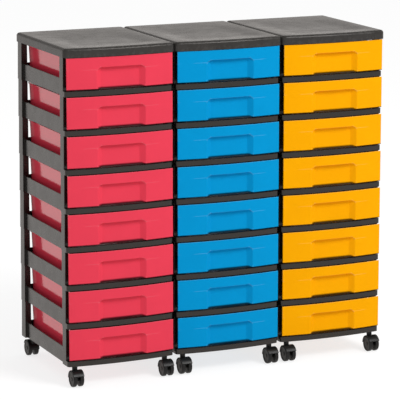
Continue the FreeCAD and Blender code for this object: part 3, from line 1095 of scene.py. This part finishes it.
    def cut_detour(self, piece: Piece, half: float) -> None:
        """Cuts a straight piece where it turns behind the recess, and into slices for its bow.

        Args:
            piece: The tray or the sill.
            half: Half the piece's width.
        """
        start, full = self.detour_start, self.detour_full
        Bench.cut(piece, Axis.X, -start, -full, full, start)
        Bench.cut_slices(piece, half, self.tray_slices)

    def clear_recess(self, point: Vector, deep: float) -> Vector:
        """Moves a point on the bow, or behind the recess where that is in the way.

        Args:
            point: The point, with its depth counted from the crown of the bow.
            deep: Depth that the point gets behind the recess.

        Returns:
            The moved point.
        """
        bowed = point.y + self.plan.bow_at(point.x)
        start, full = self.detour_start, self.detour_full
        share = clamped((start - abs(point.x)) / (start - full))
        return Vector((point.x, bowed + share * (deep - bowed), point.z))

    def meet_front(self, point: Vector) -> Vector:
        """Runs the tray's walls into the back of the bowed front, and its floor up to the sill.

        Args:
            point: The point of the straight tray.

        Returns:
            The moved point.
        """
        if point.y > self.weld_reach:
            return point
        inset = self.sill_inset if point.z < self.front_low else self.weld_depth
        return self.clear_recess(Vector((point.x, inset, point.z)), self.detour_depth)

    def sill(self) -> Piece:
        """Models the step that joins the tray's floor to the foot of the front.

        Returns:
            The sill, on the bow.
        """
        half = self.tray_half - self.tray_draft - self.sill_gap
        near, riser = self.weld_depth, self.sill_riser
        far, top = riser + self.tray_wall, self.sill_high
        piece = Bench.block("drawer_sill", (-half, near, self.front_low), (half, far, top))
        foot = self.tray_low + self.tray_wall / 2
        Bench.combine(piece, Bench.block("riser", (-half, riser, foot), (half, far, top)))
        Bench.clean(piece)
        Bench.round_off(piece, self.sill_edge)
        self.cut_detour(piece, half)
        # Painted shade on the foot of the sill.
        Bench.mark_shade(piece, lambda point: point.z < self.front_low + self.sill_shade)

        def turn_behind(point: Vector) -> Vector:
            """Moves a point of the straight sill, which keeps its wall behind the recess."""
            behind = (point.y - near) / (far - near) * self.tray_wall
            return self.clear_recess(point, self.detour_depth + behind)

        Bench.reshape(piece, turn_behind)
        return piece

    def runners(self) -> list[Piece]:
        """Models the runner at each side and the stop rib under the floor.

        Returns:
            The two runners and the rib.
        """
        inner, low = self.tray_half - self.tray_draft - self.tray_wall / 2, self.tray_low
        pieces = [
            Bench.block(
                f"drawer_runner_{side}",
                (side * inner, self.runner_start, low),
                (side * self.runner_half, self.runner_end, self.runner_high),
            )
            for side in SIDES
        ]
        half, back = self.stop_half, self.stop_y + self.stop_wall
        start, end = (-half, self.stop_y, -self.stop_drop), (half, back, low + OVERLAP)
        pieces.append(Bench.block("drawer_stop", start, end))
        for piece in pieces:
            Bench.round_off(piece, self.runner_edge)
        return pieces

    def dress(self, master: Piece, tower: Tower) -> list[Piece]:
        """Places one copy of the drawer in each level of a tower, in the tower's colours.

        Args:
            master: The drawer as built.
            tower: The tower to fill.

        Returns:
            The placed drawers, from the lowest level up.
        """
        placed = []
        ledge = Vector((0, 0, self.plan.rail_height * MM))
        for number in range(self.plan.levels):
            node = f"{tower.value}_drawer_{self.plan.levels - number}"
            shift = self.plan.origin(tower) + self.plan.level(number) + ledge
            piece = place(master, node, node, f"{tower.value}_plastic", shift)
            for index, finish in enumerate((front_finish(tower), tray_finish(tower))):
                piece.data.materials[index] = finish.material()
            placed.append(piece)
        return placed


@dataclass
class LevelFrame:
    """One moulded level: bowed front rail, side and rear walls, ledges and corner posts."""

    plan: TowerPlan
    wall: float = 3.0
    edge: float = 0.7
    edge_turn: float = 40.0
    slices: int = 28
    side_height: float = 39.0
    side_outer: float = 130.0
    side_inner: float = 127.0
    ledge_inner: float = 104.5
    ledge_end: float = 325.0
    rail_setback: float = 6.5
    bow_reach: float = 13.5
    lip_drop: float = 2.0
    front_flange: float = 36.0
    post_front: float = 30.0
    post_back: float = 53.0
    rear_post_front: float = 313.0
    rear_post_inner: float = 120.0
    rear_wall_back: float = 337.0
    rear_flange: float = 12.0
    draft: float = 1.0
    corner: float = 6.0
    boss: float = 9.1
    bore: float = 6.08

    def build(self, with_bosses: bool) -> Piece:
        """Models a level in flat blocks, joins and rounds them, and then bows its front.

        Args:
            with_bosses: True for the lowest level, which holds the castors.

        Returns:
            The level, standing at zero height.
        """
        piece = self.front_rail()
        for block in [*self.sides(), *self.rear(), *self.rear_posts()]:
            Bench.combine(piece, block)
        if with_bosses:
            for boss, hole in self.bosses():
                Bench.combine(piece, boss)
                Bench.combine(piece, hole, Merge.CUT)
        else:
            Bench.combine(piece, self.lip())
        Bench.clean(piece)
        Bench.round_off(piece, self.edge, angle=self.edge_turn)
        Bench.cut_slices(piece, self.plan.width / 2, self.slices)
        Bench.reshape(piece, self.bow_rail)
        piece.name = piece.data.name = "base_master" if with_bosses else "level_master"
        Bench.mark_wear_and_highlight(piece)
        Bench.smooth(piece)
        FRAME_PLASTIC.paint(piece)
        return piece

    def front_rail(self) -> Piece:
        """Models the front rail with its round corners, its posts and the hollow behind it.

        Returns:
            The rail, still straight.
        """
        half, height, start = self.plan.width / 2, self.plan.rail_height, self.rail_setback
        rail = Bench.block("front_rail", (-half, start, 0), (half, self.post_back, height))
        with Bench.editing(rail):
            Bench.pick(
                rail,
                Part.EDGES,
                lambda edge: climb(edge) > height / 2 * MM
                and max(vert.co.y for vert in edge.verts) < start * MM + CLOSE,
            )
            Bench.bevel(self.corner, steps=5)
        Bench.cut(rail, Axis.X, -self.side_inner, self.side_inner)
        Bench.cut(rail, Axis.Y, self.post_front)
        inner, front = self.side_inner * MM, self.post_front * MM
        rise = (0, 0, (self.plan.level_pitch - height) * MM)
        with Bench.editing(rail):
            Bench.pick(
                rail,
                Part.FACES,
                lambda face: face.normal.z > FACING
                and abs(face.calc_center_median().x) > inner
                and face.calc_center_median().y > front,
            )
            bpy.ops.mesh.extrude_region_move(TRANSFORM_OT_translate={"value": rise})
            for side in SIDES:
                Bench.pick(
                    rail,
                    Part.VERTS,
                    lambda vert: vert.co.z > 2 * height * MM
                    and vert.co.x * side > half * MM - CLOSE,
                )
                bpy.ops.transform.translate(value=(-side * self.draft * MM, 0, 0))
        inner, far = self.side_inner, self.post_back + OVERSHOOT
        for name, near, top in (
            ("rail_hollow", start + self.wall, height - self.wall),
            ("rail_back", self.front_flange, height + OVERSHOOT),
        ):
            tool = Bench.block(name, (-inner, near, -OVERSHOOT), (inner, far, top))
            Bench.combine(rail, tool, Merge.CUT)
        return rail

    def lip(self) -> Piece:
        """Models the lip under the front rail that closes the gap over the drawer below.

        Returns:
            The lip, still straight.
        """
        half, start = self.plan.width / 2 - self.corner, self.rail_setback + self.wall / 4
        far, top = start + self.wall / 2, self.plan.rail_height / 2
        return Bench.block("rail_lip", (-half, start, -self.lip_drop), (half, far, top))

    def sides(self) -> list[Piece]:
        """Models the side walls and the ledges that the drawers slide on.

        Returns:
            The blocks of both sides.
        """
        height, inner = self.plan.rail_height, self.side_inner
        walls = (self.post_back - self.wall, self.rear_post_front + self.wall)
        ledges = (self.front_flange - self.wall, self.ledge_end)
        return [
            Bench.block(name, (side * near, span[0], low), (side * far, span[1], high))
            for side in SIDES
            for name, near, far, span, low, high in (
                ("side_wall", inner, self.side_outer, walls, 0, self.side_height),
                ("ledge", self.ledge_inner, inner + OVERLAP, ledges, height - self.wall, height),
            )
        ]

    def rear(self) -> list[Piece]:
        """Models the rear wall and its flange.

        Returns:
            The two blocks.
        """
        half, back = self.rear_post_inner + self.wall, self.rear_wall_back
        near, height = back - self.wall, self.plan.rail_height
        front, foot = near - self.rear_flange, height - self.wall
        return [
            Bench.block("rear_wall", (-half, near, 0), (half, back, self.side_height)),
            Bench.block("rear_flange", (-half, front, foot), (half, back - OVERLAP, height)),
        ]

    def rear_posts(self) -> list[Piece]:
        """Models the two rear posts, which narrow a little towards the top.

        Returns:
            The posts.
        """
        half, top, depth = self.plan.width / 2, self.plan.level_pitch, self.plan.depth
        inner, front = self.rear_post_inner, self.rear_post_front
        high, wide, deep = top / 2 * MM, half * MM - CLOSE, depth * MM - CLOSE
        posts = []
        for side in SIDES:
            post = Bench.block("rear_post", (side * inner, front, 0), (side * half, depth, top))
            with Bench.editing(post):
                for test, step in (
                    (lambda vert: abs(vert.co.x) > wide and vert.co.z > high, (-side, 0, 0)),
                    (lambda vert: vert.co.y > deep and vert.co.z > high, (0, -1, 0)),
                ):
                    Bench.pick(post, Part.VERTS, test)
                    bpy.ops.transform.translate(value=Vector(step) * self.draft * MM)
            posts.append(post)
        return posts

    def bosses(self) -> list[tuple[Piece, Piece]]:
        """Models a boss and its bore for each castor, in the tower's own measures.

        Returns:
            The pairs of boss and bore.
        """
        origin, top = self.plan.origin(Tower.RED), self.plan.rail_height - self.wall
        pairs = []
        for corner in Corner:
            x, y, _ = (self.plan.swivel(Tower.RED, corner) - origin) / MM
            boss = Bench.rod("boss", self.boss, (x, y, 0), (x, y, top + OVERLAP))
            pairs.append((boss, Bench.rod("bore", self.bore, (x, y, -OVERSHOOT), (x, y, top))))
        return pairs

    def bow_rail(self, point: Vector) -> Vector:
        """Puts a point of the flat front rail on the bow.

        Args:
            point: The point of the straight level.

        Returns:
            The moved point.
        """
        if point.y > self.bow_reach:
            return point
        return Vector((point.x, point.y + self.plan.bow_at(point.x), point.z))

    def dress(self, level: Piece, base: Piece, tower: Tower) -> list[Piece]:
        """Stacks a tower: the base, and the like levels above it as one piece.

        Args:
            level: The plain level as built.
            base: The lowest level as built.
            tower: The tower to stack.

        Returns:
            The placed base and the placed stack.
        """
        origin, name = self.plan.origin(tower), tower.value
        shift = origin + self.plan.level(0)
        foot = place(base, f"{name}_base_frame", "frame", "frame_plastic", shift)
        copies = [
            Bench.copy(level, f"{name}_level_{number}", origin + self.plan.level(number))
            for number in range(1, self.plan.levels)
        ]
        stack = Bench.join(f"{name}_level_frames_dressed", copies)
        stand_in(stack, f"{name}_level_frames", "frame")
        return [foot, stack]


@dataclass
class TopCover:
    """The lid of a tower: a skirt with round edges and a shallow dished top."""

    plan: TowerPlan
    half_width: float = 139.8
    back: float = 342.0
    height: float = 21.5
    wall: float = 2.5
    corner: float = 11.0
    edge: float = 7.5
    rim: float = 9.0
    dish: float = 3.5
    front_slope: float = 65.0
    side_slope: float = 65.0
    back_slope: float = 200.0
    bow_end: float = 70.0
    bow_fade: float = 60.0
    first_row: float = 8.0
    row_depth: float = 7.0
    rows: int = 48
    slices: int = 40
    edge_mark_turn: float = 15.0

    def build(self) -> Piece:
        """Models the lid flat, sinks its dish, and then bows its front.

        Returns:
            The lid, standing at zero height.
        """
        half, top = self.half_width, self.height * MM
        piece = Bench.block("cover_master", (-half, 0, 0), (half, self.back, self.height))
        with Bench.editing(piece):
            Bench.pick(piece, Part.FACES, lambda face: face.normal.z < -FACING)
            bpy.ops.mesh.delete(type="FACE")
            Bench.pick(piece, Part.EDGES, lambda edge: climb(edge) > top / 2)
            Bench.bevel(self.corner, steps=6)
            Bench.pick(
                piece,
                Part.EDGES,
                lambda edge: all(vert.co.z > top - CLOSE for vert in edge.verts),
            )
            Bench.bevel(self.edge, steps=5)
        rows = (self.first_row + self.row_depth * number for number in range(self.rows))
        Bench.cut(piece, Axis.Y, *rows)
        Bench.cut_slices(piece, half, self.slices)
        Bench.reshape(piece, self.sink_dish)
        Bench.reshape(piece, self.bow_lid)
        Bench.thicken(piece, self.wall)
        Bench.mark_wear_and_highlight(piece, self.edge_mark_turn)
        Bench.smooth(piece)
        COVER_PLASTIC.paint(piece)
        return piece

    def sink_dish(self, point: Vector) -> Vector:
        """Lowers a point of the flat top into the dish, by how far it lies inside the rim.

        Args:
            point: The point of the flat lid.

        Returns:
            The moved point.
        """
        if point.z < self.height - HAIR:
            return point
        sunk = self.dish
        for inside, slope in (
            (self.half_width - self.rim - abs(point.x), self.side_slope),
            (point.y - self.rim, self.front_slope),
            (self.back - self.rim - point.y, self.back_slope),
        ):
            sunk *= eased(inside / slope)
        return Vector((point.x, point.y, point.z - sunk))

    def bow_lid(self, point: Vector) -> Vector:
        """Puts a point of the flat lid on the bow, which fades out across the dish."""
        fade = eased((self.bow_end - point.y) / self.bow_fade)
        return Vector((point.x, point.y + fade * self.plan.bow_at(point.x), point.z))

    def dress(self, master: Piece, tower: Tower) -> Piece:
        """Places the lid on top of a tower."""
        shift = self.plan.origin(tower) + self.plan.level(self.plan.levels)
        return place(master, f"{tower.value}_top_cover", "frame", "frame_plastic", shift)


@dataclass
class Castor:
    """A hooded castor with two wheels, about its swivel axis on the floor."""

    plan: TowerPlan
    wheel_radius: float = 19.0
    wheel_width: float = 9.5
    wheel_turn: float = 50.0
    web: float = 6.4
    clearance: float = 0.8
    hood_wall: float = 1.6
    hood_rear: float = 25.0
    hood_front: float = 182.0
    hood_edge: float = 0.5
    hood_turn: float = 40.0
    hub: float = 6.0
    trail: float = 11.0
    axle: float = 2.5
    axle_fit: float = 0.1
    axle_inset: float = 3.0
    neck: float = 6.5
    neck_top: float = 46.5
    stem: float = 4.0
    stem_low: float = 40.5
    stem_top: float = 57.4
    steel_edge: float = 0.4
    edge_mark_turn: float = 25.0
    drum_sides: int = 64
    stem_sides: int = 32
    axle_sides: int = 24
    # Corners of a wheel's section: how far in from a side, and from the tread or, in the cap, the
    # axle's middle.
    inner_shoulder: Section = ((0.0, 1.6), (0.5, 0.5), (1.6, 0.0))
    outer_shoulder: Section = ((2.2, 0.0), (0.7, 0.6), (0.0, 2.0))
    wheel_dish: Section = ((0.0, 4.0), (1.0, 4.8), (1.2, 8.0))
    wheel_cap: Section = ((1.0, 5.2), (0.2, 4.8), (0.0, 4.0), (0.0, 0.0))

    @property
    def half_width(self) -> float:
        """Half the width over both wheels."""
        return self.web / 2 + self.clearance + self.wheel_width

    @property
    def hood_radius(self) -> float:
        """Outer radius of the hood about the axle."""
        return self.wheel_radius + self.clearance + self.hood_wall

    def build_fork(self) -> Piece:
        """Models the hooded fork with its stem and its axle.

        Returns:
            The fork, with its swivel axis at the origin.
        """
        drum = self.hood()
        Bench.clean(drum)
        Bench.round_off(drum, self.hood_edge, angle=self.hood_turn)
        CASTOR_PLASTIC.paint(drum)
        end, centre = self.half_width - self.axle_inset, (self.trail, self.wheel_radius)
        low, top = (0, 0, self.stem_low), (0, 0, self.stem_top)
        steel = [
            Bench.rod("stem", self.stem, low, top, self.stem_sides),
            Bench.rod("axle", self.axle, (-end, *centre), (end, *centre), self.axle_sides),
        ]
        for piece in steel:
            Bench.round_off(piece, self.steel_edge)
            STEEL.paint(piece)
        for piece in (drum, *steel):
            Bench.mark_wear_and_highlight(piece, self.edge_mark_turn)
            Bench.smooth(piece)
        return Bench.join("castor_fork_master", [drum, *steel])

    def hood(self) -> Piece:
        """Models the hood as a sector of a drum with a neck and a hub, and cuts the wheel wells.

        Returns:
            The hood, with sharp edges.
        """
        half, web, centre = self.half_width, self.web / 2, (self.trail, self.wheel_radius)
        ends, sides = ((-half, *centre), (half, *centre)), self.drum_sides
        drum = Bench.rod("castor_fork_master", self.hood_radius, *ends, sides)
        for angle, side in ((self.hood_rear, 1), (self.hood_front, -1)):
            turn = math.radians(angle)
            keep = Vector((0, -math.sin(turn), math.cos(turn))) * side
            with Bench.editing(drum):
                bpy.ops.mesh.select_all(action="SELECT")
                bpy.ops.mesh.bisect(
                    plane_co=Vector((0, *centre)) * MM,
                    plane_no=-keep,
                    clear_outer=True,
                    use_fill=True,
                )
        foot, top = (0, 0, self.wheel_radius), (0, 0, self.neck_top)
        Bench.combine(drum, Bench.rod("neck", self.neck, foot, top))
        for side in SIDES:
            inner, outer = (side * web, *centre), (side * (half + OVERSHOOT), *centre)
            well = Bench.rod("well", self.wheel_radius + self.clearance, inner, outer, sides)
            Bench.combine(drum, well, Merge.CUT)
        Bench.combine(drum, Bench.rod("hub", self.hub, (-web, *centre), (web, *centre)))
        return drum

    def wheel_section(self) -> list[tuple[float, float]]:
        """Half a wheel's section: place along the axle and distance from it.

        Returns:
            The points, from the bottom of the bore round to the middle of the cap.
        """
        inner = self.web / 2 + self.clearance
        outer, radius, bore = inner + self.wheel_width, self.wheel_radius, self.axle + self.axle_fit
        return [
            (outer - self.axle_inset, 0.0),
            (outer - self.axle_inset, bore),
            (inner, bore),
            *((inner + step, radius - drop) for step, drop in self.inner_shoulder),
            *((outer - step, radius - drop) for step, drop in self.outer_shoulder),
            *((outer - step, radius - drop) for step, drop in self.wheel_dish),
            *((outer - step, height) for step, height in self.wheel_cap),
        ]

    def build_wheels(self) -> Piece:
        """Models one wheel by spinning its section, then mirrors it to the web's other side.

        Returns:
            The pair of wheels, with the swivel axis at the origin.
        """
        wheel = Bench.add("castor_wheels_master", bpy.ops.mesh.primitive_plane_add, size=1)
        points = [Vector((x, 0, z)) for x, z in self.wheel_section()]
        with Bench.editing(wheel):
            bpy.ops.mesh.select_mode(type=Part.VERTS.value)
            bpy.ops.mesh.select_all(action="SELECT")
            bpy.ops.mesh.merge(type="CENTER")
            bpy.ops.transform.translate(value=points[0] * MM)
            for start, end in zip(points, points[1:]):
                step = (end - start) * MM
                bpy.ops.mesh.extrude_vertices_move(TRANSFORM_OT_translate={"value": step})
            bpy.ops.mesh.select_all(action="SELECT")
            bpy.ops.mesh.spin(
                steps=self.drum_sides,
                angle=2 * math.pi,
                center=(0, 0, 0),
                axis=Axis.X.value,
                use_auto_merge=False,
            )
            bpy.ops.mesh.select_all(action="SELECT")
            bpy.ops.mesh.remove_doubles(threshold=CLOSE)
            Bench.face_outwards()
        Bench.reshape(wheel, lambda point: point + Vector((0, self.trail, self.wheel_radius)))
        Bench.finish(wheel, "MIRROR", use_axis=(True, False, False), use_mirror_merge=False)
        with Bench.editing(wheel):
            Bench.face_outwards()
        Bench.mark_wear_and_highlight(wheel)
        Bench.smooth(wheel, self.wheel_turn)
        WHEEL_PLASTIC.paint(wheel)
        return wheel

    def dress(self, fork: Piece, wheels: Piece, tower: Tower, corner: Corner) -> list[Piece]:
        """Places a castor under one corner of a tower.

        Args:
            fork: The fork as built.
            wheels: The pair of wheels as built.
            tower: The tower it stands under.
            corner: Its place under that tower.

        Returns:
            The placed fork and wheels.
        """
        shift = self.plan.swivel(tower, corner)
        shift.z = 0
        name = f"{tower.value}_{corner.value}_castor"
        return [
            place(master, node, body, slot, shift, corner.turn)
            for master, node, body, slot in (
                (fork, name + "_fork", name, "castor_plastic"),
                (wheels, name + "_wheels", name + "_wheels", "wheel_plastic"),
            )
        ]


@dataclass
class Studio:
    """Pale floor, soft light all round, and the camera of the photograph, in metres."""

    camera_place: Point = (-2.29513, -5.12476, 1.54075)
    azimuth: float = 24.078
    elevation: float = 11.580
    focal: float = 2318.7
    frame_width: float = 400.0
    sensor_width: float = 36.0
    sight: float = 200.0
    world_strength: float = 0.6
    ceiling_heights: Span = (0.06, 0.24)
    ceiling_strengths: Span = (1.0, 0.45)
    key_place: Point = (1.8, -3.4, 4.0)
    key_target: Point = (0.0, 0.0, 0.45)
    key_size: float = 2.0
    key_power: float = 138.0
    floor_size: float = 60.0
    floor_paper: float = 0.8
    floor_shade: float = 0.34
    floor_glow: float = 0.76

    def build(self) -> None:
        """Sets up everything around the object."""
        scene = bpy.context.scene
        scene.view_settings.view_transform = "Standard"
        self.world(scene)
        self.floor()
        self.key_light(scene)
        self.camera(scene)

    def world(self, scene: bpy.types.Scene) -> None:
        """Even pale light, and white round the horizon that fades towards a darker ceiling.

        Args:
            scene: The scene to light.
        """
        scene.world = bpy.data.worlds.new("studio_world")
        board = Board(scene.world)
        even = {"Color": WHITE, "Strength": self.world_strength}
        height = board.add("SeparateXYZ", {"Vector": board.places["Generated"]}).outputs["Z"]
        fade = board.ramp(height, self.ceiling_heights, self.ceiling_strengths)
        seen = {"Color": self.mirrored_colour(board), "Strength": fade}
        light, white = (board.add("Background", values).outputs[0] for values in (even, seen))
        mix = board.add("MixShader", {0: self.seen_rays(board), 1: light, 2: white})
        board.add("OutputWorld", {"Surface": mix.outputs[0]})

    @staticmethod
    def seen_rays(board: Board) -> Socket:
        """Tells the camera's own, mirrored and transmitted rays from all others.

        Args:
            board: The board of a world or a material.

        Returns:
            A socket that is one for those rays and zero for others.
        """
        path = board.add("LightPath").outputs
        seen = path["Is Camera Ray"]
        for ray in ("Is Glossy Ray", "Is Transmission Ray"):
            seen = board.math("MAXIMUM", seen, path[ray])
        return seen

    @staticmethod
    def mirrored_colour(board: Board) -> Socket:
        """A colour that is white to the camera and a little warm in reflections."""
        mirrored = board.add("LightPath").outputs["Is Glossy Ray"]
        return board.blend(mirrored, WHITE, WARM_WHITE)

    def floor(self) -> None:
        """White floor that keeps a soft shadow of the object."""
        floor = Bench.add("studio_floor", bpy.ops.mesh.primitive_plane_add, size=self.floor_size)
        material = bpy.data.materials.new("studio_floor")
        board = Board(material)
        paper, veil = (
            board.add("BsdfDiffuse", {"Color": (grey, grey, grey)}).outputs[0]
            for grey in (self.floor_paper, self.floor_shade)
        )
        white = {"Color": self.mirrored_colour(board), "Strength": self.floor_glow}
        lit = board.add("AddShader", {0: veil, 1: board.add("Emission", white).outputs[0]})
        rays = {0: self.seen_rays(board), 1: paper, 2: lit.outputs[0]}
        board.add("OutputMaterial", {"Surface": board.add("MixShader", rays).outputs[0]})
        floor.data.materials.append(material)

    def key_light(self, scene: bpy.types.Scene) -> None:
        """Hangs a square soft lamp in front, which faces the object.

        Args:
            scene: The scene to light.
        """
        light = bpy.data.lights.new("key_light", "AREA")
        light.size = self.key_size
        light.energy = self.key_power
        lamp = bpy.data.objects.new("key_light", light)
        lamp.location = self.key_place
        ahead = Vector(self.key_target) - Vector(self.key_place)
        lamp.rotation_euler = ahead.to_track_quat("-Z", "Y").to_euler()
        scene.collection.objects.link(lamp)

    def camera(self, scene: bpy.types.Scene) -> None:
        """Puts the camera at the photograph's angle.

        Args:
            scene: The scene to look at.
        """
        data = bpy.data.cameras.new("photo_camera")
        data.sensor_width = self.sensor_width
        data.lens = self.focal / self.frame_width * data.sensor_width
        data.clip_end = self.sight
        camera = bpy.data.objects.new("photo_camera", data)
        camera.location = self.camera_place
        turn, fall = math.radians(self.azimuth), math.radians(self.elevation)
        ahead = Vector(
            (math.sin(turn) * math.cos(fall), math.cos(turn) * math.cos(fall), -math.sin(fall))
        )
        camera.rotation_euler = ahead.to_track_quat("-Z", "Y").to_euler()
        scene.collection.objects.link(camera)
        scene.camera = camera


def main() -> None:
    """Builds the masters, dresses the three towers and sets up the studio."""
    logging.basicConfig(level=logging.INFO, format="%(name)s: %(message)s")
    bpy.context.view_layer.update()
    plan = TowerPlan()
    drawer, level, cover, castor = Drawer(plan), LevelFrame(plan), TopCover(plan), Castor(plan)
    masters = {
        "drawer": drawer.build(),
        "level": level.build(False),
        "base": level.build(True),
        "cover": cover.build(),
        "fork": castor.build_fork(),
        "wheels": castor.build_wheels(),
    }
    for name, master in masters.items():
        LOG.info("%s modelled with %d faces", name, len(master.data.polygons))
    for tower in Tower:
        pieces = drawer.dress(masters["drawer"], tower)
        pieces += level.dress(masters["level"], masters["base"], tower)
        pieces.append(cover.dress(masters["cover"], tower))
        for corner in Corner:
            pieces += castor.dress(masters["fork"], masters["wheels"], tower, corner)
        sleeves = frame["nodes"][f"{tower.value}_stem_sleeves"]
        SLEEVE_PLASTIC.paint(sleeves)
        for piece in (*pieces, sleeves):
            LOG.info("dressed %s", piece.name)
    for master in masters.values():
        bpy.data.objects.remove(master, do_unlink=True)
    Studio().build()


if __name__ == "__main__":
    main()
